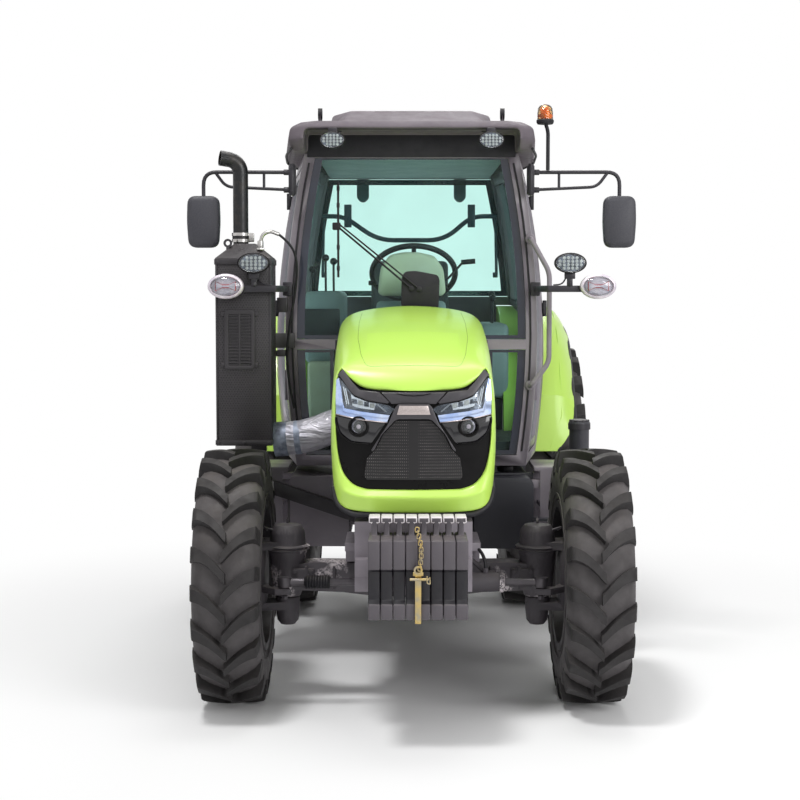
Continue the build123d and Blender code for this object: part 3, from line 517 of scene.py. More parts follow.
def plugged(tree, node, settings=(), **inputs):
    """Sets a node's own settings and its inputs."""
    for key, value in dict(settings).items():
        setattr(node, key, value)
    for key, value in inputs.items():
        socket = node.inputs[int(key[1:]) if key[0] == "_" else key.replace("_", " ")]
        if isinstance(value, bpy.types.NodeSocket):
            tree.links.new(value, socket)
        else:
            socket.default_value = value
    return node


def maths(tree, operation, *values):
    """The result of one sum; its inputs are numbers or sockets."""
    inputs = {f"_{i}": value for i, value in enumerate(values)}
    return add(tree, "Math", {"operation": operation}, **inputs).outputs["Value"]


class Finish:
    """A material being built: its nodes are added with short calls."""

    def __init__(self, name, colour, rough=0.5, metallic=0.0, **sockets):
        self.material = bpy.data.materials.new(name)
        self.material.use_nodes = True
        self.tree = self.material.node_tree
        self.colour = (*colour, 1)
        self.shader = plugged(self.tree, self.tree.nodes["Principled BSDF"], Base_Color=self.colour,
            Roughness=rough, Metallic=metallic, **sockets)
        self.coords = self.add("TexCoord").outputs["Object"]
        self.height = None

    def add(self, kind, settings=(), **inputs):
        return add(self.tree, kind, settings, **inputs)

    def noise(self, scale, detail=4.0, rough=0.6, stretch=None, distortion=0.0):
        place = self.coords
        if stretch:
            place = self.add("Mapping", Scale=stretch, Vector=place).outputs["Vector"]
        return self.add("TexNoise", Scale=scale, Detail=detail, Roughness=rough, Distortion=distortion,
            Vector=place).outputs["Fac"]

    def cells(self, scale):
        return self.add("TexVoronoi", Scale=scale, Vector=self.coords).outputs["Distance"]

    def ramp(self, value, low, high, a=0.0, b=1.0):
        return self.add("MapRange", From_Min=low, From_Max=high, To_Min=a, To_Max=b,
            Value=value).outputs["Result"]

    def maths(self, operation, *values):
        return maths(self.tree, operation, *values)

    def times(self, *values):
        """The product of some sockets or numbers."""
        product = values[0]
        for value in values[1:]:
            product = self.maths("MULTIPLY", product, value)
        return product

    def over(self, colour, factor):
        """Lays a colour over what is there, by a factor."""
        mix = self.add("Mix", {"data_type": "RGBA"}, Factor=factor, A=self.colour, B=(*colour, 1))
        self.colour = mix.outputs["Result"]
        plugged(self.tree, self.shader, Base_Color=self.colour)
        return self

    def roughness(self, value, low, high, a, b):
        plugged(self.tree, self.shader, Roughness=self.ramp(value, low, high, a, b))
        return self

    def bump(self, value, distance, strength=1.0):
        below = {"Normal": self.height} if self.height else {}
        node = self.add("Bump", Distance=distance, Strength=strength, Height=value, **below)
        self.height = node.outputs["Normal"]
        plugged(self.tree, self.shader, Normal=self.height)
        return self

    def dust(self, colour, amount, scale=6.0):
        """Dust on faces that look up, broken up by noise."""
        split = self.add("SeparateXYZ", Vector=self.add("NewGeometry").outputs["Normal"])
        up = self.ramp(split.outputs["Z"], 0.1, 1.0)
        patchy = self.ramp(self.noise(scale, 6.0, 0.65), 0.42, 0.68, 0.25, 1.0)
        return self.over(colour, self.times(up, patchy, amount))

    def keep(self, key):
        F[key] = self.material


def srgb(red, green, blue):
    """A colour given as 0 to 255 on a screen, in the shader's linear values."""
    return tuple((c / 255 / 12.92) if c / 255 <= 0.04045 else ((c / 255 + 0.055) / 1.055) ** 2.4
        for c in (red, green, blue))


F = {}
DUST = srgb(150, 138, 124)
DEEP_LIME = srgb(150, 216, 44)


def scaled(colour, share, lift=0.0):
    return tuple(min(1, c * share + lift) for c in colour)


def metal_paint(key, name, colour, rough, fleck=0.0, dust=0.25, grain=0.0006):
    """Dusty paint on sheet or castings, with bare flecks where asked."""
    m = Finish(name, colour, rough, Specular_IOR_Level=0.45)
    m.over(scaled(colour, 0.62), m.ramp(m.noise(5.0, 6.0), 0.38, 0.66, 0.0, 0.3))
    m.over(scaled(colour, 1.4), m.ramp(m.noise(28.0, 6.0, 0.7), 0.5, 0.75, 0.0, 0.2))
    if fleck:
        patches = m.ramp(m.noise(4.0, 5.0), 0.55, 0.62)
        dots = m.ramp(m.noise(90.0, 3.0, 0.7), 0.44, 0.5)
        m.over(srgb(214, 205, 208), m.times(patches, dots, fleck))
    m.dust(DUST, dust * 0.6).roughness(m.noise(14.0, 6.0), 0.35, 0.7, rough - 0.12, rough + 0.18)
    m.bump(m.noise(120.0, 4.0, 0.65), grain, 0.5).keep(key)


def plastic(key, name, colour, rough, grain=0.0004, scale=420.0, dust=0.14, shine=0.4):
    """Moulded plastic with a fine grain."""
    m = Finish(name, colour, rough, Specular_IOR_Level=shine)
    m.over(scaled(colour, 1.6, 0.004), m.ramp(m.noise(7.0, 6.0), 0.4, 0.72, 0.0, 0.35)).dust(DUST, dust)
    m.roughness(m.noise(18.0, 5.0), 0.35, 0.7, rough - 0.08, rough + 0.12)
    m.bump(m.noise(scale, 2.0), grain, 0.5).keep(key)


def rubber(key, name, base, shade, dusty):
    """Tyre rubber, mottled and dusty. Its shade share also makes the lighter and darker copies of one rubber that
    paint highlight and shade on the lugs.
    """
    colour = scaled(base, shade)
    m = Finish(name, colour, 0.72, Specular_IOR_Level=0.35)
    m.over(scaled(colour, 2.0), m.ramp(m.noise(7.0, 8.0, 0.68), 0.45, 0.72, 0.0, 0.4))
    m.over(scaled(colour, 0.4), m.ramp(m.noise(3.0, 5.0), 0.5, 0.75, 0.0, 0.4))
    m.dust(DUST, dusty, 12.0).roughness(m.noise(20.0, 6.0), 0.35, 0.7, 0.55, 0.85)
    m.bump(m.noise(150.0, 6.0, 0.7), 0.0012, 0.5).bump(m.noise(24.0, 4.0), 0.002, 0.35).keep(key)


def lens(key, name, tint, gloss, ior, ribs=0.0, dirt=0.0):
    """Clear or coloured glass that lets light through straight."""
    material = bpy.data.materials.new(name)
    material.use_nodes = True
    tree = material.node_tree
    tree.nodes.remove(tree.nodes["Principled BSDF"])
    place = add(tree, "TexCoord").outputs["Object"]
    relief = {}
    if ribs:
        cells = add(tree, "TexVoronoi", Scale=ribs, Vector=place)
        relief["Normal"] = add(tree, "Bump", Distance=0.002,
            Height=cells.outputs["Distance"]).outputs["Normal"]
    clear_part = add(tree, "BsdfTransparent", Color=(*tint, 1))
    shine = add(tree, "BsdfGlossy", Color=(1, 1, 1, 1), Roughness=gloss, **relief)
    share = add(tree, "Fresnel", IOR=ior, **relief)
    last = add(tree, "MixShader", Fac=share.outputs["Fac"], _1=clear_part.outputs["BSDF"],
        _2=shine.outputs["BSDF"])
    if dirt:
        haze = add(tree, "BsdfDiffuse", Color=(*srgb(150, 160, 156), 1))
        smear = add(tree, "TexNoise", Scale=2.2, Detail=6.0, Vector=place)
        level = add(tree, "MapRange", From_Min=0.4, From_Max=0.75, To_Max=dirt, Value=smear.outputs["Fac"])
        last = add(tree, "MixShader", Fac=level.outputs["Result"], _1=last.outputs["Shader"],
            _2=haze.outputs["BSDF"])
    plugged(tree, tree.nodes["Material Output"], Surface=last.outputs["Shader"])
    F[key] = material


# key, name, colour, roughness, metallic, coat, second colour, its pattern (kind, scale, detail), the
# pattern's low, high and greatest share, and the relief (kind, scale, detail, depth, strength)
SIMPLE = [
    ("olive", "olive_seam", (112, 150, 44), 0.5, 0, 0, (84, 116, 30), ("noise", 30, 4), 0.4, 0.7, 0.6, None),
    ("rod", "rod_steel", (86, 82, 86), 0.4, 0.5, 0, (66, 62, 66), ("noise", 24, 5), 0.4, 0.7, 0.6, None),
    ("band", "wrap_band", (150, 158, 178), 0.5, 0.2, 0, (76, 82, 98), ("noise", 20, 5), 0.42, 0.68, 1,
     ("noise", 60, 4, 0.002, 0.5)),
    ("strip", "blue_strip", (168, 190, 236), 0.12, 0.75, 0, (210, 222, 246), ("noise", 12, 3), 0.4, 0.65, 1,
     None),
    ("copper", "copper_badge", (200, 190, 188), 0.34, 0.9, 0, (176, 162, 158), ("noise", 300, 2),
     0.4, 0.6, 0.6, ("noise", 500, 4, 0.0002, 0.4)),
    ("silver", "lamp_silver", (232, 222, 230), 0.34, 0.2, 0.4, (204, 196, 208), ("noise", 26, 3),
     0.4, 0.65, 1, ("cells", 90, None, 0.0008, 0.5)),
    ("pink", "marker_pink", (206, 96, 104), 0.3, 0, 0.4, (180, 70, 80), ("noise", 60, 3), 0.4, 0.65, 1,
     ("cells", 120, None, 0.0006, 0.5)),
    ("red", "signal_red", (214, 44, 36), 0.2, 0, 0.5, (150, 20, 20), ("cells", 160, None), 0.2, 0.6, 0.6,
     ("cells", 160, None, 0.001, 0.5)),
    ("navy", "glass_band", (30, 34, 50), 0.2, 0, 0.4, (44, 50, 70), ("noise", 9, 5), 0.4, 0.7, 0.5, None),
    ("grained", "grained_plastic", (52, 52, 60), 0.5, 0, 0, (74, 73, 76), ("noise", 300, 2), 0.45, 0.6, 0.5,
     ("noise", 380, 2, 0.0006, 0.7)),
    ("lamp_dark", "lamp_housing", (86, 90, 98), 0.25, 0.7, 0, (150, 158, 172), ("noise", 38, 3),
     0.45, 0.65, 0.7, ("cells", 60, None, 0.001, 0.5)),
    ("amber_core", "amber_core", (236, 150, 60), 0.3, 0, 0.6, (206, 110, 30), ("noise", 40, 4), 0.4, 0.65, 1,
     ("cells", 110, None, 0.001, 0.5)),
]


def make_finishes(look):
    """Builds every material of the tractor."""
    for key, name, colour, rough, metallic, coat, second, marks, low, high, share, relief in SIMPLE:
        m = Finish(name, srgb(*colour), rough, metallic, Coat_Weight=coat)
        draw = {"noise": m.noise, "cells": lambda scale, _: m.cells(scale)}
        m.over(srgb(*second), m.ramp(draw[marks[0]](*marks[1:]), low, high, 0.0, share))
        if relief:
            m.bump(draw[relief[0]](*relief[1:3]), *relief[3:])
        m.keep(key)

    m = Finish("lime_paint", look.body_colour[:3], 0.36, Coat_Weight=0.3, Coat_Roughness=0.16)
    m.over(DEEP_LIME, m.ramp(m.noise(1.1, 2.0), 0.4, 0.7, 0.0, 0.1))
    m.dust(srgb(196, 190, 160), 0.02, 3.0).roughness(m.noise(9.0, 5.0), 0.35, 0.7, 0.33, 0.39)
    m.bump(m.noise(260.0, 2.0), 0.00004, 0.5).keep("lime")
    m = Finish("lime_grained", look.body_colour[:3], 0.42, Coat_Weight=0.2, Coat_Roughness=0.2)
    m.over(DEEP_LIME, m.ramp(m.noise(1.1, 2.0), 0.4, 0.7, 0.0, 0.12))
    m.bump(m.noise(150.0, 1.0, stretch=(1, 0.3, 1)), 0.0007, 0.7).keep("lime_grained")

    dark = look.frame_colour[:3]
    metal_paint("dark", "dark_paint", dark, 0.42)
    metal_paint("cast", "cast_block", scaled(dark, 0.27), 0.62, dust=0.3, grain=0.002)
    metal_paint("axle", "cast_axle", scaled(dark, 0.31), 0.55, fleck=0.9, dust=0.3, grain=0.0016)
    metal_paint("weight", "weight_paint", scaled(dark, 0.36), 0.5, dust=0.3, grain=0.0014)
    metal_paint("grip", "weight_grips", srgb(236, 230, 232), 0.5, dust=0.1, grain=0.001)
    # the weights' recess takes a near-black copy of the paint: painted shade in the recess
    metal_paint("recess_painted_shade", "weight_recess", srgb(24, 22, 28), 0.5, dust=0.02, grain=0.001)
    metal_paint("box", "exhaust_sheet", srgb(51, 48, 52), 0.44)
    metal_paint("rim", "rim_paint", srgb(50, 47, 50), 0.45)

    m = Finish("bright_steel", srgb(196, 194, 192), 0.24, 1.0)
    m.over(srgb(150, 146, 142), m.ramp(m.noise(30.0, 5.0), 0.4, 0.7, 0.0, 0.5))
    m.roughness(m.noise(60.0, 4.0, stretch=(0.2, 1, 1)), 0.3, 0.7, 0.14, 0.38).keep("steel")
    m = Finish("zinc_plate", srgb(196, 172, 112), 0.34, 1.0)
    m.over(srgb(150, 150, 146), m.ramp(m.noise(22.0, 5.0), 0.42, 0.66, 0.0, 0.8))
    m.roughness(m.noise(40.0, 4.0), 0.3, 0.7, 0.24, 0.5).bump(m.noise(200.0), 0.0002, 0.4).keep("zinc")
    m = Finish("stack_paint", srgb(30, 31, 33), 0.34, 0.3)
    m.over(srgb(64, 56, 50), m.ramp(m.noise(18.0, 6.0), 0.5, 0.72, 0.0, 0.6))
    m.roughness(m.noise(30.0, 5.0), 0.3, 0.7, 0.22, 0.5).bump(m.noise(180.0, 4.0), 0.0005, 0.4).keep("stack")
    m = Finish("chrome", srgb(220, 224, 230), 0.06, 1.0)
    m.roughness(m.noise(30.0), 0.3, 0.7, 0.03, 0.12).keep("chrome")

    plastic("plastic", "black_plastic", srgb(44, 42, 48), 0.42)
    plastic("trim", "trim_plastic", srgb(66, 64, 68), 0.34)
    plastic("mask", "mask_plastic", srgb(12, 11, 12), 0.34, 0.0001, dust=0.01, shine=0.15)
    plastic("roof", "roof_plastic", look.roof_colour[:3], 0.6, 0.0002, 500.0, 0.04, 0.12)
    plastic("seal", "rubber_seal", srgb(26, 25, 30), 0.6)
    plastic("beige", "cab_trim", srgb(226, 219, 196), 0.55, 0.0005, 520.0, 0.05)
    plastic("grey", "cab_grey", srgb(150, 160, 164), 0.6, 0.0005, 520.0, 0.05)
    plastic("bar", "window_bars", srgb(62, 82, 92), 0.5, 0.0003, 420.0, 0.05)
    plastic("mat", "floor_mat", srgb(52, 52, 54), 0.8, 0.0012, 240.0, 0.4)
    rubber("rubber", "tyre_rubber", look.tyre_colour[:3], 1.1, 0.16)
    # lighter copy for the lug tops, worn and dusty and partly a painted highlight; darker copy for the lug sides and
    # feet, painted shade
    rubber("rubber_worn_painted_highlight", "tyre_lug_tops", look.tyre_colour[:3], 1.8, 0.35)
    rubber("rubber_painted_shade", "tyre_lug_sides", look.tyre_colour[:3], 0.36, 0.05)

    m = Finish("seat_cloth", srgb(58, 60, 64), 0.85, Sheen_Weight=0.3)
    weave = m.ramp(m.cells(700.0), 0.0, 0.8)
    m.over(srgb(92, 94, 98), weave).bump(weave, 0.0006, 0.7).keep("cloth")
    m = Finish("foil_wrap", srgb(196, 193, 203), 0.42, 0.35)
    m.over(srgb(142, 142, 156), m.ramp(m.noise(9.0, 5.0), 0.45, 0.7, 0.0, 0.8))
    m.roughness(m.noise(26.0, 5.0), 0.3, 0.7, 0.32, 0.55)
    m.bump(m.noise(11.0, 3.0, 0.5, (0.5, 1.4, 1.4), 1.2), 0.03, 0.7).bump(m.noise(44.0, 5.0), 0.004,
        0.5).keep("foil")
    m = Finish("led_white", srgb(226, 226, 226), 0.25, Emission_Strength=0.08, Emission_Color=(0.9, 0.95, 0.9,
        1))
    m.over(srgb(190, 196, 186), m.ramp(m.noise(160.0), 0.4, 0.6, 0.0, 0.6)).keep("led")
    m = Finish("gloss_black", srgb(24, 23, 27), 0.12, Coat_Weight=0.6, Coat_Roughness=0.04)
    m.over(srgb(40, 38, 44), m.ramp(m.noise(6.0, 4.0), 0.4, 0.7, 0.0, 0.5)).keep("gloss")

    lens("glass", "tinted_glass", look.glass_tint[:3], 0.02, 1.16, dirt=0.05)
    lens("clear", "clear_lens", (0.93, 0.95, 0.96), 0.05, 1.45)
    lens("amber", "amber_lens", (1.0, 0.8, 0.52), 0.08, 1.45, ribs=90.0)

    m = Finish("grille_mesh", srgb(22, 20, 22), 0.3)
    split = m.add("SeparateXYZ", Vector=m.coords).outputs
    a, b = [m.maths("SUBTRACT", m.maths("FRACT", m.maths("DIVIDE", split[axis], pitch)), 0.5) for axis,
        pitch in (("X", 0.0082), ("Z", 0.0125))]
    across = m.ramp(m.maths("ABSOLUTE", a), 0.1, 0.2, 1.0, 0.0)
    upright = m.ramp(m.maths("ABSOLUTE", b), 0.08, 0.15, 1.0, 0.0)
    # no dots down the middle: a strip of painted shade
    blank = m.ramp(m.maths("ABSOLUTE", split["X"]), 0.02, 0.022)
    dots = m.times(across, upright, blank)
    # the dots take a light grey that is a painted glint, its strength varied by noise
    bright = m.ramp(m.noise(22.0, 4.0), 0.3, 0.62, 0.25, 1.0)
    m.over(srgb(130, 124, 124), m.times(dots, bright)).bump(dots, 0.0012, 0.8).keep("grille")

    # rows of holes, each row set half a pitch along from the last
    m = Finish("perforated_sheet", srgb(51, 48, 52), 0.44)
    m.over(srgb(48, 43, 47), m.ramp(m.noise(5.0, 6.0), 0.38, 0.66, 0.0, 0.7))
    split = m.add("SeparateXYZ", Vector=m.coords).outputs
    along, pitch, rise = m.maths("ADD", split["X"], split["Y"]), look.hole_pitch, 0.866
    row = m.maths("DIVIDE", split["Z"], pitch * rise)
    odd = m.times(m.maths("MODULO", m.maths("ABSOLUTE", m.maths("FLOOR", row)), 2.0), 0.5)
    a = m.maths("SUBTRACT", m.maths("FRACT", m.maths("ADD", m.maths("DIVIDE", along, pitch), odd)), 0.5)
    b = m.times(m.maths("SUBTRACT", m.maths("FRACT", row), 0.5), rise)
    reach = m.maths("SQRT", m.maths("ADD", m.times(a, a), m.times(b, b)))
    hole = m.ramp(reach, 0.17, 0.22, 1.0, 0.0)
    m.over(srgb(12, 11, 13), hole).dust(DUST, 0.2)
    m.bump(m.maths("SUBTRACT", 1.0, hole), 0.002, 0.8).keep("perforated")


# ---------------------------------------------------------------- what a user may change
class TractorLook(bpy.types.PropertyGroup):
    """Colours and finishes."""
    body_colour: bpy.props.FloatVectorProperty(
        name="Body", description="Paint of the hood and the wings", subtype="COLOR", size=4, min=0,
        max=1, default=(*srgb(196, 236, 100), 1))
    frame_colour: bpy.props.FloatVectorProperty(
        name="Frame", description="Paint of the cab frame, chassis and weights", subtype="COLOR", size=4, min=0,
        max=1, default=(*srgb(138, 131, 139), 1))
    roof_colour: bpy.props.FloatVectorProperty(
        name="Roof", description="Moulded plastic of the roof", subtype="COLOR", size=4, min=0,
        max=1, default=(*srgb(104, 97, 103), 1))
    tyre_colour: bpy.props.FloatVectorProperty(
        name="Tyres", description="Rubber of the tyres", subtype="COLOR", size=4, min=0,
        max=1, default=(*srgb(74, 71, 72), 1))
    glass_tint: bpy.props.FloatVectorProperty(
        name="Glass", description="Tint of the cab's panes", subtype="COLOR", size=4, min=0,
        max=1, default=(0.875, 0.985, 0.965, 1))
    hole_pitch: bpy.props.FloatProperty(
        name="Hole pitch", description="Distance between the holes of the exhaust box", unit="LENGTH",
        default=0.0125, min=0.005, max=0.03)


class TractorSizes(bpy.types.PropertyGroup):
    """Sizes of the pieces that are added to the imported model."""
    lug_count_front: bpy.props.IntProperty(
        name="Front lugs", description="Lugs in one row of a front tyre", default=20, min=12, max=30)
    lug_count_rear: bpy.props.IntProperty(
        name="Rear lugs", description="Lugs in one row of a rear tyre", default=22, min=12, max=30)
    lug_height: bpy.props.FloatProperty(
        name="Lug height", description="Height of the tyre lugs", unit="LENGTH", default=0.036,
        min=0.01, max=0.08)
    camera_distance: bpy.props.FloatProperty(
        name="Camera distance", description="From the front axle to the camera", unit="LENGTH", default=6.832,
        min=3.0, max=20.0)
    camera_height: bpy.props.FloatProperty(
        name="Camera height", description="Height of the camera above the ground", unit="LENGTH",
        default=1.786, min=0.3, max=5.0)
    seat_fill: bpy.props.FloatProperty(
        name="Seat fill", description="How firmly the seat is stuffed", default=0.7, min=0.0, max=1.0)


# ---------------------------------------------------------------- operators
class PieceOperator:
    """What every piece's operator shares."""
    bl_options = {"REGISTER", "UNDO"}

    def execute(self, context):
        self.make(context.scene.tractor_sizes)
        return {"FINISHED"}


def build_stage(sizes):
    scene = bpy.context.scene
    scene.view_settings.view_transform = "Standard"
    axle_y = (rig.box("rim_front_left")[0].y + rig.box("rim_front_left")[1].y) / 2
    bpy.ops.object.camera_add(location=(-0.0545, axle_y - sizes.camera_distance, sizes.camera_height),
        rotation=(pi / 2 - 0.0683, 0, 0))
    camera = bpy.context.object
    camera.data.sensor_width = 36
    camera.data.lens = 71.0
    scene.camera = camera

    bpy.ops.mesh.primitive_plane_add(size=60, location=(0, 0, 0))
    floor = bpy.context.object
    floor.name = "floor"
    material = bpy.data.materials.new("studio_floor")
    material.use_nodes = True
    tree = material.node_tree
    shader = plugged(tree, tree.nodes["Principled BSDF"], Base_Color=(0.9, 0.9, 0.9, 1), Roughness=0.95,
        Specular_IOR_Level=0.0)
    rays = add(tree, "LightPath").outputs
    seen = maths(tree, "MAXIMUM", rays["Is Camera Ray"], rays["Is Transmission Ray"])
    away = add(tree, "VectorMath", {"operation": "LENGTH"}, _0=add(tree, "NewGeometry").outputs["Position"])
    far = add(tree, "MapRange", {"interpolation_type": "SMOOTHSTEP"}, From_Min=1.2, From_Max=3.8,
        Value=away.outputs["Value"])
    glow = add(tree, "Emission", Color=(1, 1, 1, 1))
    fade = add(tree, "MixShader", Fac=maths(tree, "MULTIPLY", seen, far.outputs["Result"]),
        _1=shader.outputs[0], _2=glow.outputs[0])
    plugged(tree, tree.nodes["Material Output"], Surface=fade.outputs[0])
    floor.data.materials.append(material)
    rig.stage(floor)

    world = bpy.data.worlds.new("studio")
    scene.world = world
    world.use_nodes = True
    tree = world.node_tree
    rays = add(tree, "LightPath").outputs
    seen = maths(tree, "MAXIMUM", rays["Is Camera Ray"], rays["Is Transmission Ray"])
    seen = maths(tree, "MAXIMUM", seen, rays["Is Glossy Ray"])
    level = add(tree, "MapRange", To_Min=0.36, To_Max=1.0, Value=seen)
    plugged(tree, tree.nodes["Background"], Strength=level.outputs["Result"], Color=(1, 1, 1, 1))

    lamps = [
        # name, place, size, power
        ("key", (-2.2, -4.2, 10.5), 1.8, 550),
        ("fill", (5.0, -6.5, 4.0), 4.0, 275),
        ("top", (0.5, 0.0, 8.5), 3.0, 115),
        ("rear", (1.0, 6.5, 8.0), 3.0, 180),
    ]
    for name, place, size, power in lamps:
        aim = (Vector((0, -0.3, 1.0)) - Vector(place)).to_track_quat("-Z", "Y").to_euler()
        bpy.ops.object.light_add(type="AREA", location=place, rotation=aim)
        lamp = bpy.context.object
        lamp.name = name
        lamp.data.size = size
        lamp.data.energy = power


class TRACTOR_OT_stage(PieceOperator, bpy.types.Operator):
    """Camera, soft studio lights, pale floor and backdrop"""
    bl_idname = "tractor.stage"
    bl_label = "Stage"
    make = staticmethod(build_stage)


def wheel_place(end, side):
    """Centre of a wheel: across from its tyre, along and up from its rim."""
    low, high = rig.box(f"tyre_{end}_{side}")
    rim_low, rim_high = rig.box(f"rim_{end}_{side}")
    return Vector(((low.x + high.x) / 2, (rim_low.y + rim_high.y) / 2, (rim_low.z + rim_high.z) / 2))


def rubber_lug(radius, half, carcass, drop):
    """One lug of the left row at the top of a tyre: a bar, swept back and bent as it runs to the shoulder."""
    obj = slab((0, -1, 0), (1, 1, 1))
    pick(obj, lambda a, b: abs(a.x - b.x) > 0.5, "EDGE")
    bpy.ops.mesh.subdivide(number_cuts=9)
    done()
    pick(obj, lambda a, b: a.z > 0.99 and b.z > 0.99 and abs(a.y) > 0.99 and a.y * b.y > 0.5, "EDGE")
    bpy.ops.mesh.bevel(offset=0.05, segments=2, affect="EDGES")
    done()
    pick(obj, lambda a, b: abs(a.z - b.z) > 0.5, "EDGE")
    bpy.ops.mesh.subdivide(number_cuts=2)
    done()
    for vert in obj.data.vertices:
        u, v, w = vert.co
        share = -0.06 + 1.06 * u
        back = 0.185 * (1 - max(0.0, 1 - share) ** 1.9) if share > 0 else 0.22 * share
        wide = (0.04 + 0.013 * u ** 1.5) * (1.16 - 0.16 * w ** 0.7)
        top = radius - drop * max(0.0, share) ** 2.4
        foot = carcass - 0.016 - 0.05 * max(0.0, share - 0.72) / 0.28
        out = foot + (top - foot) * w
        turn = -back + v * wide
        across = share * half
        if share > 0.9:
            across -= 0.012 * w ** 2 * (share - 0.9) / 0.1
        vert.co = (across, -out * sin(turn), out * cos(turn))
    obj.data.update()
    painted(obj, "rubber_worn_painted_highlight", "rubber_painted_shade")
    # lug tops take the lighter rubber, partly painted highlight; sides and feet near the casing take the darker
    # rubber, painted shade
    for face in obj.data.polygons:
        away = Vector((0, face.center.y, face.center.z))
        face.material_index = int(face.normal.dot(away.normalized()) < 0.6
            or away.length < (radius + carcass) / 2)
    return obj


def build_tyres(sizes):
    for end, count, seat in (("front", sizes.lug_count_front, 0.3052), ("rear", sizes.lug_count_rear,
            0.3814)):
        low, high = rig.box(f"tyre_{end}_left")
        half = (high.x - low.x) / 2
        radius = WHEEL_RADIUS[end]
        rise = sizes.lug_height if end == "front" else sizes.lug_height * 42 / 36
        carcass = radius - rise
        wall = seat + 0.55 * (carcass - seat)
        bead = half - (0.016 if end == "front" else 0.025)
        outer = [(0, carcass), (0.3 * half, carcass - 0.001), (0.58 * half, carcass - 0.006),
            (0.8 * half, carcass - 0.018), (0.9 * half, carcass - 0.036), (0.955 * half, wall + 0.05),
            (0.985 * half, wall + 0.012), (0.985 * half, wall - 0.02), (0.955 * half, seat + 0.058),
            (bead + 0.004, seat + 0.04), (bead + 0.006, seat + 0.03), (bead, seat + 0.024), (bead, seat),
            (bead - 0.026, seat), (0.8 * half, wall), (0.6 * half, carcass - 0.036),]
        profile = outer + [(-x, r) for x, r in reversed(outer[1:])]
        casing = painted(turned(profile, (0, 0, 0), "X", 120), "rubber")
        one = rubber_lug(radius, half, carcass, 0.013)
        other = copied(one, flip=True)
        lugs = []
        for k in range(count):
            lugs += [copied(one, turn=2 * pi * k / count, axis="X"),
                copied(other, turn=2 * pi * (k + 0.5) / count, axis="X")]
        dropped(one, other)
        rings = []
        for s in SIDES:
            for out, thick in ((wall + 0.006, 0.0022), (seat + 0.052, 0.0026)):
                bpy.ops.mesh.primitive_torus_add(location=(s * half * 0.972, 0, 0), rotation=(0, pi / 2, 0),
                    major_radius=out, minor_radius=thick, major_segments=96, minor_segments=6)
                rings += [settle(bpy.context.object)]
        whole = joined("tyre", [casing] + lugs + [painted(ring, "rubber") for ring in rings])
        smooth(whole, 38)
        for side in ("left", "right"):
            twin = copied(whole, wheel_place(end, side))
            piece(twin, f"rubber_{end}_{side}", None, "tyre_rubber", f"tyre_{end}_{side}")
            smooth(twin, 38)
        dropped(whole)


class TRACTOR_OT_tyres(PieceOperator, bpy.types.Operator):
    """Four tyres: a moulded casing with two rows of swept lugs"""
    bl_idname = "tractor.tyres"
    bl_label = "Tyres"
    make = staticmethod(build_tyres)


def build_rims(_):
    for end, count, ring in (("front", 8, 0.14), ("rear", 8, 0.15)):
        for side, s in (("left", 1), ("right", -1)):
            node = f"rim_{end}_{side}"
            painted(NODES[node], "rim")
            at = wheel_place(end, side)
            disc = (0.048 if end == "front" else 0.076)
            places = [(at.x + s * disc, at.y + ring * cos(2 * pi * k / count),
                at.z + ring * sin(2 * pi * k / count)) for k in range(count)]
            nuts = []
            for x, y, z in places:
                nut = drum((x + s * 0.008, y, z), 0.0135, 0.018, "X", 6, 0.002)
                stud = drum((x + s * 0.018, y, z), 0.0075, 0.022, "X", 12, 0.001)
                nuts += [nut, stud]
            valve = tube([(at.x + s * (disc - 0.02), at.y, at.z + 0.24),
                (at.x + s * disc, at.y, at.z + 0.235), (at.x + s * (disc + 0.03), at.y, at.z + 0.225)], 0.004)
            fitted = joined("nuts", nuts + [valve])
            piece(smooth(fitted), f"wheel_nuts_{end}_{side}", "steel", "bright_steel", on=node)


class TRACTOR_OT_rims(PieceOperator, bpy.types.Operator):
    """Rims in dark paint with their wheel nuts, studs and valves"""
    bl_idname = "tractor.rims"
    bl_label = "Rims"
    make = staticmethod(build_rims)


# ---------------------------------------------------------------- hood and face
# y, then x and z of the half section: lower edge, lower side, middle, upper side, shoulder low, shoulder top,
# panel edge, quarter, crown
HOOD_ROWS = [
    (-0.478, (0.345, 1.33), (0.351, 1.42), (0.352, 1.51), (0.35, 1.61), (0.318, 1.664), (0.268, 1.69),
     (0.2, 1.705), (0.1, 1.717), (0, 1.722)),
    (-0.8, (0.34, 1.223), (0.346, 1.34), (0.347, 1.461), (0.344, 1.584), (0.314, 1.643), (0.266, 1.668),
     (0.2, 1.681), (0.1, 1.691), (0, 1.694)),
    (-1.2, (0.334, 1.09), (0.341, 1.24), (0.341, 1.4), (0.336, 1.545), (0.308, 1.6), (0.262, 1.622),
     (0.2, 1.631), (0.1, 1.638), (0, 1.64)),
    (-1.45, (0.33, 1.034), (0.338, 1.172), (0.338, 1.33), (0.331, 1.484), (0.306, 1.544), (0.262, 1.567),
     (0.2, 1.575), (0.1, 1.581), (0, 1.583)),
    (-1.62, (0.327, 0.992), (0.336, 1.12), (0.335, 1.27), (0.327, 1.43), (0.303, 1.492), (0.262, 1.512),
     (0.2, 1.518), (0.1, 1.5235), (0, 1.525)),
]
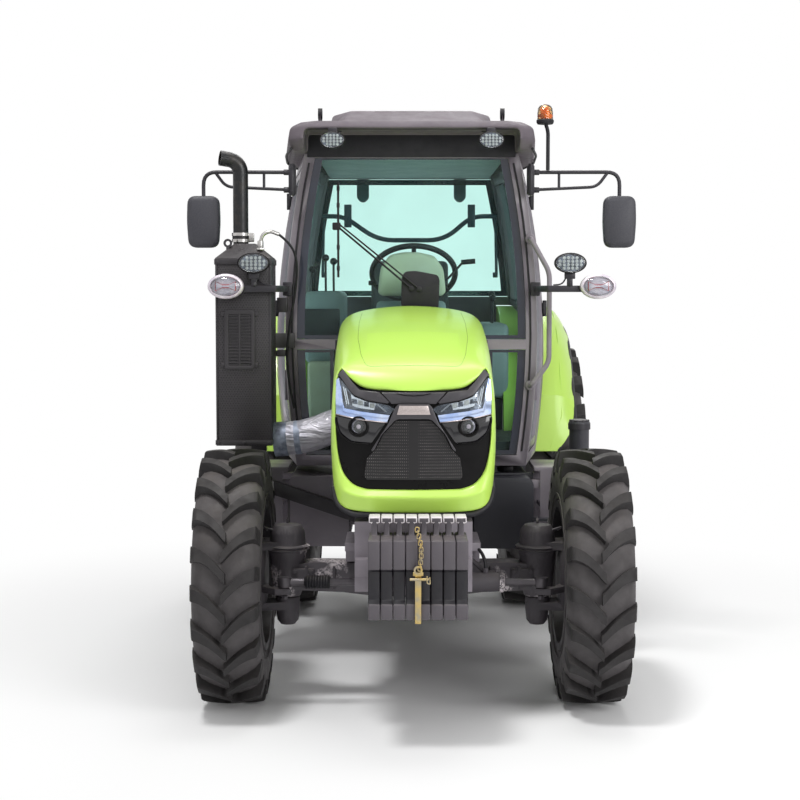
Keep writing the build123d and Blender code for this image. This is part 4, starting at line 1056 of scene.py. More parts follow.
# the nose from the last section on: four loops of (x, y, z), from the crown round to the middle of the chin
NOSE_ROWS = [
    [(0, -1.69, 1.483), (0.102, -1.689, 1.482), (0.203, -1.685, 1.48), (0.262, -1.664, 1.494),
     (0.3, -1.645, 1.491), (0.326, -1.646, 1.442), (0.335, -1.662, 1.28), (0.335, -1.665, 1.13),
     (0.324, -1.672, 1.006), (0.313, -1.695, 0.955), (0.292, -1.716, 0.926), (0.243, -1.738, 0.903),
     (0, -1.748, 0.901)],
    [(0, -1.733, 1.425), (0.105, -1.731, 1.426), (0.208, -1.718, 1.431), (0.257, -1.694, 1.462),
     (0.296, -1.664, 1.489), (0.322, -1.67, 1.448), (0.329, -1.694, 1.29), (0.327, -1.698, 1.15),
     (0.312, -1.712, 1.036), (0.292, -1.735, 0.998), (0.262, -1.748, 0.98), (0.2, -1.757, 0.968),
     (0, -1.764, 0.966)],
    [(0, -1.743, 1.3915), (0.108, -1.74, 1.393), (0.207, -1.728, 1.399), (0.252, -1.702, 1.433),
     (0.289, -1.674, 1.483), (0.312, -1.684, 1.452), (0.3155, -1.709, 1.3), (0.3135, -1.71, 1.1625),
     (0.292, -1.715, 1.066), (0.266, -1.722, 1.03), (0.24, -1.726, 1.006), (0.19, -1.734, 0.993),
     (0, -1.746, 0.991)],
]
CHIN_BACK = [(0.316, -1.66, 0.948), (0.296, -1.664, 0.918), (0.245, -1.668, 0.897), (0, -1.672, 0.895)]


def whole_row(half):
    """A half row and its mirror image, from the far side over the middle to the near side."""
    return [(-x, y, z) for x, y, z in half[:-1]] + [tuple(p) for p in reversed(half)]


def ring_row(half):
    """A half loop from the crown to the chin, closed by its mirror image."""
    return [tuple(p) for p in half] + [(-x, y, z) for x, y, z in reversed(half[1:-1])]


def face_y(x, z):
    """The curved front of the mask."""
    return -1.745 + 0.36 * x * x + 0.4 * max(0.0, z - 1.38)


def relief(points, depth, width=0.0, lift=0.0, finish=None, radius=0.0):
    """An outline in front view, pressed on to the curved face and standing out from it."""
    outline = rounded(points, radius) if radius else points
    obj = plate(outline, -depth - lift, depth, "Y")
    low, high = min(p[0] for p in points), max(p[0] for p in points)
    cuts = int((high - low) / 0.025)
    for k in range(1, cuts):
        edit(obj)
        bpy.ops.mesh.bisect(plane_co=(low + (high - low) * k / cuts, 0, 0), plane_no=(1, 0, 0))
        done()
    if width:
        soften(obj, width, 2, 50)
    for vert in obj.data.vertices:
        vert.co.y += face_y(vert.co.x, vert.co.z)
    smooth(obj, 30)
    return painted(obj, finish) if finish else obj


def mirrored(points):
    return [(-x, z) for x, z in reversed(points)]


def laid(obj, points, rise=0.0):
    """Points (x, y) dropped on to the top of an object."""
    out = []
    for x, y in points:
        place = obj.ray_cast(Vector((x, y, 3.0)), Vector((0, 0, -1)))[1]
        out += [(x, y, place.z + rise)]
    return out


def build_hood(_):
    rows = [whole_row([(x, row[0], z) for x, z in row[1:]]) for row in HOOD_ROWS]
    top = skin(rows)
    last = [(x, HOOD_ROWS[-1][0], z) for x, z in reversed(HOOD_ROWS[-1][1:])]
    loops = [last + CHIN_BACK] + NOSE_ROWS
    lip = [(x * 0.985, y + 0.034, z + (0.004 if z < 1.2 else -0.004)) for x, y, z in NOSE_ROWS[-1]]
    nose = skin([ring_row(loop) for loop in loops + [lip]], closed=True)
    shell = outward(joined("hood", [top, nose]))

    def crisp(a, b):
        chin = max(a.z, b.z) < 1.0 and max(a.y, b.y) < -1.69 and abs(a.z - b.z) < 0.04
        mouth = (abs(a.y - face_y(a.x, a.z)) < 0.006 and abs(b.y - face_y(b.x, b.z)) < 0.006)
        return chin or mouth
    pick(shell, crisp, "EDGE")
    bpy.ops.transform.edge_crease(value=0.75)
    done()
    modify(shell, "SUBSURF", levels=3, render_levels=3)
    smooth(shell, 60)
    line = [(-0.232, -0.6), (-0.236, -1.0), (-0.232, -1.36), (-0.214, -1.58), (-0.192, -1.672),
        (0.192, -1.672), (0.214, -1.58), (0.232, -1.36), (0.236, -1.0), (0.232, -0.6)]
    fine = [tuple(p[:2]) for p in bent([(x, y, 0) for x, y in line], 0.03)]
    steps = []
    for (ax, ay), (bx, by) in zip(fine, fine[1:]):
        count = max(1, int(hypot(bx - ax, by - ay) / 0.02))
        steps += [(ax + (bx - ax) * k / count, ay + (by - ay) * k / count) for k in range(count)]
    seam = tube(laid(shell, steps + [fine[-1]], -0.0004), 0.0011, 0.001, 2)
    modify(shell, "SOLIDIFY", thickness=0.004, offset=-1.0)
    painted(shell, "lime", "lime_grained")
    for face in shell.data.polygons:
        x, y, z = face.center
        face.material_index = int(abs(x) < 0.19 + 0.1 * max(0, -1.45 - y) and -1.665 < y < -1.3
            and face.normal.z > 0.5)
    piece(shell, "hood_skin", None, "lime_paint", "hood_shell")
    piece(seam, "hood_seam", "olive", "lime_paint", on="hood_shell")

    edge = [(s * x, y, z - 0.006) for s in (-1,) for x, y, z in [(0.343, -0.49, 1.33), (0.333, -1.2, 1.09),
        (0.325, -1.63, 0.99)] + CHIN_BACK]
    edge += [(-x, y, z) for x, y, z in reversed(edge[:-1])]
    seal = tube(edge, 0.009, 0.02, 4)
    lip = [(x, y + 0.012, z - 0.011) for x, y, z in NOSE_ROWS[0][8:]]
    under = tube([(-x, y, z) for x, y, z in lip] + lip[-2::-1], 0.0115, 0.02, 4)
    handle = drum((0, -1.722, 0.889), 0.01, 0.05, "X", 20, 0.002)
    piece([seal, under, handle], "hood_seals", "seal", "black_plastic", on="hood_shell")


class TRACTOR_OT_hood(PieceOperator, bpy.types.Operator):
    """One-piece hood with its nose, chin, panel lines and lower seal"""
    bl_idname = "tractor.hood"
    bl_label = "Hood"
    make = staticmethod(build_hood)


def build_face(_):
    half = [(0, 0.9905, 1.39), (0.054, 0.9905, 1.3905), (0.108, 0.991, 1.392), (0.15, 0.9915, 1.394),
        (0.19, 0.992, 1.396), (0.216, 0.998, 1.399), (0.24, 1.0045, 1.42), (0.2646, 1.031, 1.448),
        (0.28, 1.049, 1.468), (0.291, 1.065, 1.48), (0.3, 1.09, 1.47), (0.306, 1.114, 1.46),
        (0.3125, 1.1625, 1.448)]
    columns = [(-x, b, t) for x, b, t in reversed(half[1:])] + half
    rows = []
    for k in range(15):
        share = k / 14
        rows += [[(x, face_y(x, b + (t - b) * share) + 0.014, b + (t - b) * share) for x, b, t in columns]]
    base = smooth(skin(rows, levels=1, wall=0.005), 50)
    parts = [painted(base, "mask")]
    flank = [(0.138, 1.387), (0.216, 1.3945), (0.247, 1.426), (0.284, 1.476), (0.306, 1.455), (0.303, 1.448),
        (0.242, 1.375), (0.184, 1.3535), (0.104, 1.341), (0.097, 1.347)]
    parts += [relief(p, 0.01, 0.002, -0.006, "trim") for p in (flank, mirrored(flank))]
    crown = [(-0.13, 1.386), (0.13, 1.386), (0.088, 1.34), (-0.088, 1.34)]
    parts += [relief(crown, 0.012, 0.003, -0.006, "trim")]
    smile = [(-0.072, 1.381), (-0.04, 1.3735), (0, 1.3705), (0.04, 1.3735), (0.072, 1.381), (0.066, 1.3835),
        (0.04, 1.377), (0, 1.374), (-0.04, 1.377), (-0.066, 1.3835)]
    parts += [relief(smile, 0.002, 0.0, 0.0045, "mask")]
    half_bar = [(0.06, 1.28), (0.075, 1.274), (0.1286, 1.216), (0.156, 1.158), (0.1675, 1.149),
        (0.1685, 1.156), (0.0995, 1.2646), (0.073, 1.328), (0.06, 1.34)]
    bar = half_bar + mirrored(half_bar)
    parts += [relief(bar, 0.022, 0.003, -0.004, "trim")]
    badge = [(-0.057, 1.334), (0.057, 1.334), (0.067, 1.298), (-0.067, 1.298)]
    parts += [relief(badge, 0.004, 0.001, 0.017, "copper")]
    mesh = [(-0.07, 1.272), (0.07, 1.272), (0.122, 1.216), (0.15, 1.158), (0.188, 1.118), (0.1975, 1.05),
        (0.188, 1.034), (-0.188, 1.034), (-0.1975, 1.05), (-0.188, 1.118), (-0.15, 1.158), (-0.122, 1.216)]
    parts += [relief(mesh, 0.005, 0.0, -0.012, "grille")]
    pod = [(0.112, 1.262), (0.216, 1.272), (0.312, 1.29), (0.3135, 1.262), (0.301, 1.22), (0.255, 1.184),
        (0.176, 1.178), (0.165, 1.186)]
    for s, outline in ((1, pod), (-1, mirrored(pod))):
        parts += [relief(outline, 0.006, 0.0015, -0.012, "gloss")]
        edge = [(s * x, face_y(x, z) - 0.001, z) for x, z in [(0.3135, 1.285), (0.3135, 1.262), (0.301, 1.22),
            (0.255, 1.183), (0.172, 1.177)]]
        parts += [painted(tube(edge, 0.0028, 0.02, 3), "mask")]
        x, z = s * 0.221, 1.2476
        y = face_y(x, z) + 0.012
        cup = turned([(0.0, 0.04), (-0.02, 0.042), (-0.022, 0.037), (-0.008, 0.029), (0.0, 0.028)], (x, y, z),
            "Y", 40)
        bowl = turned([(0.004, 0.0), (0.002, 0.012), (-0.006, 0.027), (-0.004, 0.0285), (0.008, 0.014),
            (0.01, 0.0)], (x, y, z), "Y", 40)
        eye = drum((x, y - 0.006, z), 0.009, 0.012, "Y", 20, 0.003)
        cover = turned([(-0.013, 0.0), (-0.0115, 0.014), (-0.007, 0.0265), (-0.005, 0.0265), (-0.009, 0.014),
            (-0.01, 0.0)], (x, y, z), "Y", 40)
        parts += [painted(smooth(cup), "mask"), painted(smooth(bowl), "chrome"), painted(eye, "silver"),
            painted(smooth(cover), "clear")]
    whole = joined("face", parts)
    piece(whole, "face", None, "black_plastic", "hood_mask")


class TRACTOR_OT_face(PieceOperator, bpy.types.Operator):
    """Black face: grille, twin bars, badge plate and fog lamps"""
    bl_idname = "tractor.face"
    bl_label = "Face"
    make = staticmethod(build_face)


def build_headlamps(_):
    parts = []
    strip = [(0.0955, 1.295), (0.216, 1.31), (0.277, 1.322), (0.284, 1.347), (0.291, 1.4), (0.3, 1.443),
        (0.3115, 1.434), (0.3135, 1.36), (0.312, 1.298), (0.216, 1.2785), (0.105, 1.266)]
    bowl = [(0.075, 1.3205), (0.104, 1.3365), (0.182, 1.349), (0.24, 1.371), (0.299, 1.446), (0.291, 1.4),
        (0.284, 1.347), (0.277, 1.322), (0.216, 1.31), (0.0955, 1.296)]
    inner = [(0.15, 1.3415), (0.182, 1.3465), (0.236, 1.3665), (0.252, 1.378), (0.246, 1.33), (0.216, 1.321),
        (0.158, 1.314)]
    edge = [(0.105, 1.2645), (0.216, 1.2765), (0.3135, 1.297)]
    rim = [(0.073, 1.3205), (0.104, 1.338), (0.182, 1.3505), (0.24, 1.3725), (0.3, 1.449)]
    for s in SIDES:
        side = (lambda pts: pts) if s > 0 else mirrored
        parts += [relief(side(bowl), 0.003, 0.0, -0.013, "lamp_dark"), relief(side(strip), 0.012, 0.0025,
            -0.008, "strip"), relief(side(inner), 0.003, 0.001, -0.01, "chrome")]
        for k in range(4):
            x = 0.165 + 0.024 * k
            z = 1.331 + 0.0055 * k
            cell = [(x - 0.0095, z - 0.01), (x + 0.0095, z - 0.007), (x + 0.0095, z + 0.012),
                (x - 0.0095, z + 0.009)]
            parts += [relief(side(cell), 0.006, 0.0015, -0.008, "lamp_dark" if k % 2 else "led")]
        for a, b in (((0.112, 1.306), (0.15, 1.3375)), ((0.262, 1.335), (0.276, 1.398)),
                ((0.27, 1.335), (0.284, 1.405))):
            (ax, az), (bx, bz) = a, b
            parts += [relief(side([(ax, az), (bx, bz), (bx - 0.004, bz + 0.004), (ax - 0.004, az + 0.004)]),
                0.004, 0.0, -0.01, "chrome")]
        for line, size, finish in ((edge, 0.0026, "copper"), (rim, 0.0022, "mask")):
            parts += [painted(tube([(s * x, face_y(x, z) - 0.004, z) for x, z in line], size, 0.02, 3),
                finish)]
        cover = relief(side(bowl), 0.0025, 0.0, 0.002, "clear")
        parts += [cover]
    piece(parts, "lamp_units", None, "clear_lens", "headlamps", angle=0)


class TRACTOR_OT_headlamps(PieceOperator, bpy.types.Operator):
    """Swept headlamps: bright lower strip, reflectors behind a clear cover"""
    bl_idname = "tractor.headlamps"
    bl_label = "Headlamps"
    make = staticmethod(build_headlamps)


# ---------------------------------------------------------------- cab
# y, then half width at the sill (z 0.95), the waist (z 1.72) and the roof rail (z 2.445)
CAB_ROWS = [(-0.45, 0.552, 0.6, 0.508), (0.35, 0.676, 0.7, 0.59), (1.0, 0.604, 0.614, 0.508)]


def cab_half(y, z):
    """Half width of the cab's bowed side at a place."""
    widths = []
    for _, low, waist, top in CAB_ROWS:
        # a circle through three points at the sill, the waist and the rail
        (x1, z1), (x2, z2), (x3, z3) = (low, 0.95), (waist, 1.72), (top, 2.445)
        d = 2 * (x1 * (z2 - z3) + x2 * (z3 - z1) + x3 * (z1 - z2))
        ux = ((x1 * x1 + z1 * z1) * (z2 - z3) + (x2 * x2 + z2 * z2) * (z3 - z1)
            + (x3 * x3 + z3 * z3) * (z1 - z2)) / d
        uz = ((x1 * x1 + z1 * z1) * (x3 - x2) + (x2 * x2 + z2 * z2) * (x1 - x3)
            + (x3 * x3 + z3 * z3) * (x2 - x1)) / d
        radius = hypot(x1 - ux, z1 - uz)
        widths += [ux + sqrt(max(0.0, radius * radius - (z - uz) ** 2))]
    (ya, yb, yc) = (row[0] for row in CAB_ROWS)
    if y < yb:
        return widths[0] + (widths[1] - widths[0]) * (y - ya) / (yb - ya)
    return widths[1] + (widths[2] - widths[1]) * (y - yb) / (yc - yb)


def pane_band(y, bottom, top, inset, band, foot, head, depth=0.004, inner=None):
    """A band round a pane between two heights, following the bowed sides; inner is the x it stops at."""
    steps = [k / 9 for k in range(10)]

    def side(shrink, low, high):
        return [(cab_half(y, low + (high - low) * t) - inset - shrink, low + (high - low) * t) for t in steps]
    outer_right = side(0, bottom, top)
    inner_right = side(band, bottom + foot, top - head)
    if inner is None:
        outer = outer_right + [(-x, z) for x, z in reversed(outer_right)]
        inside = inner_right + [(-x, z) for x, z in reversed(inner_right)]
    else:
        outer = outer_right + [(inner, z) for _, z in reversed(outer_right)]
        inside = inner_right + [(inner + band * 0.4, z) for _, z in reversed(inner_right)]
    rows = [[(x, y, z) for x, z in outer], [(x, y, z) for x, z in inside]]
    obj = skin(rows, closed=True)
    return modify(obj, "SOLIDIFY", thickness=depth, offset=0.0)


def build_cab(_):
    eased("cab_frame", "cab_frame_soft", 0.006, 40, "dark", "dark_paint")
    for side in ("left", "right"):
        piece(dressed(f"door_{side}", 0.004, 40), f"door_frame_{side}", "dark", "dark_paint", f"door_{side}")
    bands = [pane_band(-0.4295, 1.561, 2.423, 0.0525, 0.04, 0.018, 0.006), pane_band(0.9855, 1.763, 2.421,
        0.0555, 0.034, 0.03, 0.03)]
    for s in SIDES:
        low = pane_band(-0.4295, 1.003, 1.508, 0.0525, 0.04, 0.02, 0.012, inner=0.375)
        bands += [low]
        if s < 0:
            bands[-1] = copied(low, flip=True)
            dropped(low)
    piece(bands, "glass_bands", "navy", "black_plastic", angle=0)
    trims = []
    for s in SIDES:
        heights = [1.02 + 0.138 * k for k in range(11)]
        trims += [tube([(s * (cab_half(-0.45, z) - 0.03), -0.452, z) for z in heights], 0.0045, 0.02, 3)]
        for z in (1.18, 1.7, 2.26):
            x = cab_half(0.335, z)
            block = slab((s * (x - 0.004), 0.292, z - 0.03), (s * (x + 0.01), 0.392, z + 0.03), 0.004)
            pin = drum((s * (x + 0.01), 0.322, z), 0.011, 0.085, "Z", 20, 0.002)
            trims += [block, pin]
    header = slab((-0.496, -0.462, 2.427), (0.496, -0.452, 2.54), 0.002)
    sill = slab((-0.365, -0.47, 1.512), (0.365, -0.451, 1.557), 0.004)
    cowl = slab((-0.335, -0.474, 1.3), (0.335, -0.4515, 1.512), 0.004)
    piece(trims + [header, sill, cowl], "cab_trim", "seal", "black_plastic")
    for node in ("cab_glass", "door_glass_left", "door_glass_right"):
        painted(NODES[node], "glass")


class TRACTOR_OT_cab(PieceOperator, bpy.types.Operator):
    """Cab frame with rounded edges, glass bands, seals, hinges and sill trim"""
    bl_idname = "tractor.cab"
    bl_label = "Cab frame"
    make = staticmethod(build_cab)


def build_wiper(_):
    y = -0.43
    cover = [(-0.042, 1.703), (-0.05, 1.73), (-0.046, 1.86), (-0.03, 1.884), (0.02, 1.888), (0.126, 1.868),
        (0.136, 1.845), (0.13, 1.703)]
    body = plate(rounded(cover, 0.016), y - 0.026, 0.025)
    soften(body, 0.005, 2, 40)
    hub = slab((-0.378, y - 0.026, 2.082), (-0.338, y - 0.006, 2.118), 0.006)
    parts = [body, hub]
    for (x0, z0), (x1, z1), radius in (((0, 1.803), (-0.352, 2.098), 0.0048), ((0.038, 1.8), (-0.343, 2.108),
            0.004)):
        parts += [tube([(x0, y - 0.03, z0), ((x0 + x1) / 2, y - 0.036, (z0 + z1) / 2), (x1, y - 0.022, z1)],
            radius, 0.1), drum((x0, y - 0.028, z0), 0.013, 0.022, "Y", 20, 0.003)]
    parts += [slab((-0.3555, y - 0.024, 1.856), (-0.3445, y - 0.012, 2.312), 0.003),
        slab((-0.3515, y - 0.012, 1.86), (-0.3485, y + 0.0012, 2.308))]
    for z in (1.9, 2.0, 2.2, 2.28):
        parts += [slab((-0.3575, y - 0.026, z - 0.012), (-0.3425, y - 0.01, z + 0.012), 0.003)]
    piece(parts, "wiper_set", "seal", "black_plastic", "wiper")


class TRACTOR_OT_wiper(PieceOperator, bpy.types.Operator):
    """Wiper with its motor cover, twin arms, blade and clips"""
    bl_idname = "tractor.wiper"
    bl_label = "Wiper"
    make = staticmethod(build_wiper)


def build_inside(_):
    dark, beige, grey = [], [], []
    tower = plate([(-0.385, 1.1), (-0.385, 1.64), (-0.3, 1.745), (-0.205, 1.735), (-0.185, 1.64),
        (-0.245, 1.5), (-0.245, 1.075), (-0.33, 1.075)], -0.17, 0.34, "X")
    grey += [soften(tower, 0.022, 3, 30)]
    pod = [(-0.163, 1.785), (-0.15, 1.905), (-0.105, 1.968), (-0.03, 1.982), (0.04, 1.98), (0.115, 1.962),
        (0.158, 1.9), (0.17, 1.785), (0.15, 1.767), (-0.145, 1.767)]
    shell = plate(rounded(pod, 0.02), -0.3, 0.12)
    beige += [soften(shell, 0.018, 3, 30)]
    axis = Vector((0, sin(STEERING_TILT), cos(STEERING_TILT)))
    hub = STEERING_HUB
    low = hub - axis * 0.34
    column = tube([low, hub - axis * 0.05], 0.036, 0.01, 6)
    boot = tube([low - axis * 0.01, low + axis * 0.05, low + axis * 0.1], 0.052, 0.01, 6)
    dark += [column, boot]
    piece(dark, "column", "plastic", "black_plastic", "dash_console")
    stalks = [tube([hub - axis * 0.1, hub - axis * 0.08 + Vector((0.16, 0, 0.02)), (0.262, -0.02, 1.935)],
        0.006, 0.04), tube([hub - axis * 0.1, hub - axis * 0.1 + Vector((-0.12, 0, 0.0)),
        (-0.2, -0.02, 1.83)], 0.005, 0.04)]
    knob = tube([(0.256, -0.02, 1.936), (0.325, -0.03, 1.942)], 0.013, 0.01, 5)
    levers = stalks + [knob, drum((-0.2, -0.02, 1.832), 0.012, 0.028, "X", 20, 0.004)]

    rest = slab((-0.545, 0.1, 1.42), (-0.35, 0.86, 1.79), 0.03, 3)
    skirt = slab((-0.53, 0.06, 1.065), (-0.35, 0.8, 1.43), 0.02, 3)
    left = slab((0.37, 0.3, 1.225), (0.52, 0.86, 1.62), 0.03, 3)
    beige += [skirt]
    panel = slab((-0.545, 0.085, 1.5), (-0.365, 0.105, 1.7), 0.006)
    grey += [rest, left]
    for x, y, h in ((-0.4, 0.22, 0.15), (-0.445, 0.3, 0.17), (-0.49, 0.24, 0.13), (-0.52, 0.4, 0.11),
                    (0.44, 0.42, 0.13), (0.44, 0.52, 0.15)):
        foot = 1.785 if x < 0 else 1.615
        levers += [tube([(x, y, foot), (x, y - 0.02, foot + h * 0.6), (x, y - 0.015, foot + h)], 0.006, 0.04)]
        bpy.ops.mesh.primitive_uv_sphere_add(radius=0.019, segments=16, ring_count=10,
            location=(x, y - 0.015, foot + h + 0.01))
        levers += [settle(bpy.context.object)]
    lane = []
    for x in (-0.235, -0.12, 0.245):
        pad = slab((x - 0.036, -0.285, 1.135), (x + 0.036, -0.272, 1.215), 0.005)
        stem = tube([(x, -0.28, 1.18), (x, -0.31, 1.32), (x * 0.55, -0.34, 1.44)], 0.008, 0.05)
        lane += [pad, stem]
    piece(levers + lane + [panel], "levers_and_pedals", "plastic", "black_plastic")
    piece(grey, "console_grey", "grey", "black_plastic")
    piece(beige, "console_beige", "beige", "black_plastic")

    y = 0.972
    bars = [tube([(-0.494, y, 2.215), (-0.374, y, 2.215), (-0.18, y, 2.08), (0.196, y, 2.08),
        (0.3525, y, 2.215), (0.494, y, 2.215)], 0.0135, 0.09, 5)]
    bars += [slab((s * 0.35 - 0.021, y - 0.016, 2.152), (s * 0.35 + 0.021, y + 0.004, 2.281), 0.004)
        for s in SIDES]
    bars += [tube([(s * 0.487, y, 2.222), (s * 0.494, y, 1.883)], 0.0085, 0.01) for s in SIDES]
    bars += [slab((s * 0.487 - 0.014, y - 0.01, 1.868), (s * 0.487 + 0.014, y + 0.008, 1.898), 0.004)
        for s in SIDES]
    for x0, x1 in ((-0.3, -0.232), (0.253, 0.32)):
        low_edge = [(x0, 2.449), (x0, 2.32), ((x0 + x1) / 2 - 0.012, 2.298), ((x0 + x1) / 2 + 0.012, 2.298),
            (x1, 2.32), (x1, 2.449)]
        bars += [plate(rounded(low_edge, 0.012), 1.006, 0.06)]
    piece(bars, "rear_window_bars", "bar", "black_plastic")

    ceiling = slab((-0.45, -0.385, 2.425), (0.45, 0.93, 2.439), 0.004)
    piece(ceiling, "headlining", "grey", "roof_plastic")


class TRACTOR_OT_inside(PieceOperator, bpy.types.Operator):
    """Dash, instrument pod, column, side console, levers, pedals and rear window bars"""
    bl_idname = "tractor.inside"
    bl_label = "Cab inside"
    make = staticmethod(build_inside)


def build_wheel(_):
    bpy.ops.mesh.primitive_torus_add(major_radius=0.212, minor_radius=0.0145, major_segments=72,
        minor_segments=16)
    ring = settle(bpy.context.object)
    parts = [ring]
    for angle in (-90, 30, 150):
        a = radians(angle)
        parts += [tube([(0.02 * cos(a), 0.02 * sin(a), -0.012), (0.12 * cos(a), 0.12 * sin(a), -0.016),
            (0.206 * cos(a), 0.206 * sin(a), -0.002)], 0.0115, 0.05, 5)]
    parts += [turned([(-0.036, 0.0), (-0.036, 0.034), (-0.01, 0.05), (0.01, 0.046), (0.018, 0.034),
        (0.02, 0.0)], (0, 0, 0), "Z", 40)]
    wheel = joined("wheel", parts)
    wheel.matrix_world = Matrix.Translation(STEERING_HUB) @ Matrix.Rotation(-STEERING_TILT, 4, "X")
    settle(wheel)
    piece(smooth(wheel, 50), "steering_wheel_soft", "plastic", "black_plastic", "steering_wheel")


class TRACTOR_OT_wheel(PieceOperator, bpy.types.Operator):
    """Steering wheel with three spokes and a cap"""
    bl_idname = "tractor.wheel"
    bl_label = "Steering wheel"
    make = staticmethod(build_wheel)


def build_seat(sizes):
    base = slab((-0.17, 0.44, 1.221), (0.17, 0.8, 1.3), 0.012)
    bellows = [slab((-0.15 + 0.006 * (k % 2), 0.47, 1.3 + 0.02 * k), (0.15 - 0.006 * (k % 2), 0.78,
        1.318 + 0.02 * k), 0.005) for k in range(4)]
    tray = slab((-0.22, 0.4, 1.38), (0.22, 0.84, 1.42), 0.012)
    frame_back = slab((-0.19, 0.845, 1.46), (0.19, 0.868, 1.9), 0.01)
    for vert in frame_back.data.vertices:
        vert.co.y += (vert.co.z - 1.54) * 0.22
    piece([base, tray, frame_back] + bellows, "seat_pedestal", "plastic", "black_plastic")
    cushion = slab((-0.235, 0.385, 1.42), (0.235, 0.83, 1.53), 0.03, 4)
    edit(cushion)
    bpy.ops.mesh.subdivide(number_cuts=3)
    done()
    for vert in cushion.data.vertices:
        if vert.co.z > 1.5:
            vert.co.z += 0.014 * (abs(vert.co.x) / 0.235) ** 2 - 0.004
    piece(smooth(cushion, 60), "seat_cushion", "cloth", "seat_cover", "driver_seat")
    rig.padded(cushion, fill=sizes.seat_fill)
    back = slab((-0.215, 0.755, 1.535), (0.215, 0.84, 1.96), 0.03, 4)
    edit(back)
    bpy.ops.mesh.subdivide(number_cuts=3)
    done()
    for vert in back.data.vertices:
        vert.co.y += (vert.co.z - 1.54) * 0.22 - 0.02 * (abs(vert.co.x) / 0.215) ** 2 * (vert.co.y < 0.8)
    piece(smooth(back, 60), "seat_back", "cloth", "seat_cover", "driver_seat")
    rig.padded(back, fill=sizes.seat_fill)


class TRACTOR_OT_seat(PieceOperator, bpy.types.Operator):
    """Sprung driver's seat: padded cushion and back on a pedestal"""
    bl_idname = "tractor.seat"
    bl_label = "Seat"
    make = staticmethod(build_seat)


# ---------------------------------------------------------------- roof, lamps, mirrors
def work_lamp(x, y, z, half_x, half_z, depth=0.07):
    """An oval work lamp that looks forward: housing, bezels, rows of light cells and a clear cover."""
    parts = []
    housing = plate(oval(half_x * 0.96, half_z * 0.96, (x, z)), y, depth)
    pick(housing, lambda c, n: n.y > 0.9)
    bpy.ops.transform.resize(value=(0.6, 1, 0.6), center_override=(x, y + depth, z))
    done()
    parts += [painted(soften(housing, 0.006, 2, 40), "plastic")]
    for scale, front, back, key in ((1.0, -0.006, 0.01, "mask"), (0.93, -0.0075, -0.004, "trim")):
        outer, inner = oval(half_x * scale, half_z * scale, (x, z)), oval(half_x * (scale - 0.07),
            half_z * (scale - 0.1), (x, z))
        ring = surround(outer, inner, y + back, y + front)
        parts += [painted(soften(ring, 0.0015, 2, 40), key)]
    bowl = plate(oval(half_x * 0.86, half_z * 0.82, (x, z)), y - 0.001, 0.003)
    parts += [painted(bowl, "lamp_dark")]
    cell = drum((x, y - 0.004, z), half_z * 0.155, 0.006, "Y", 12, 0.0012)
    cells = []
    for row, count in ((-1, 4), (-0.34, 6), (0.34, 6), (1, 4)):
        for k in range(count):
            dx = (k - (count - 1) / 2) * half_x * 0.26
            cells += [copied(cell, (dx, 0, row * half_z * 0.5))]
    dropped(cell)
    parts += [painted(joined("cells", cells), "led")]
    cover = plate(oval(half_x * 0.88, half_z * 0.86, (x, z)), y - 0.012, 0.0025)
    parts += [painted(soften(cover, 0.001, 2, 40), "clear")]
    return smooth(joined("work_lamp", parts), 40)


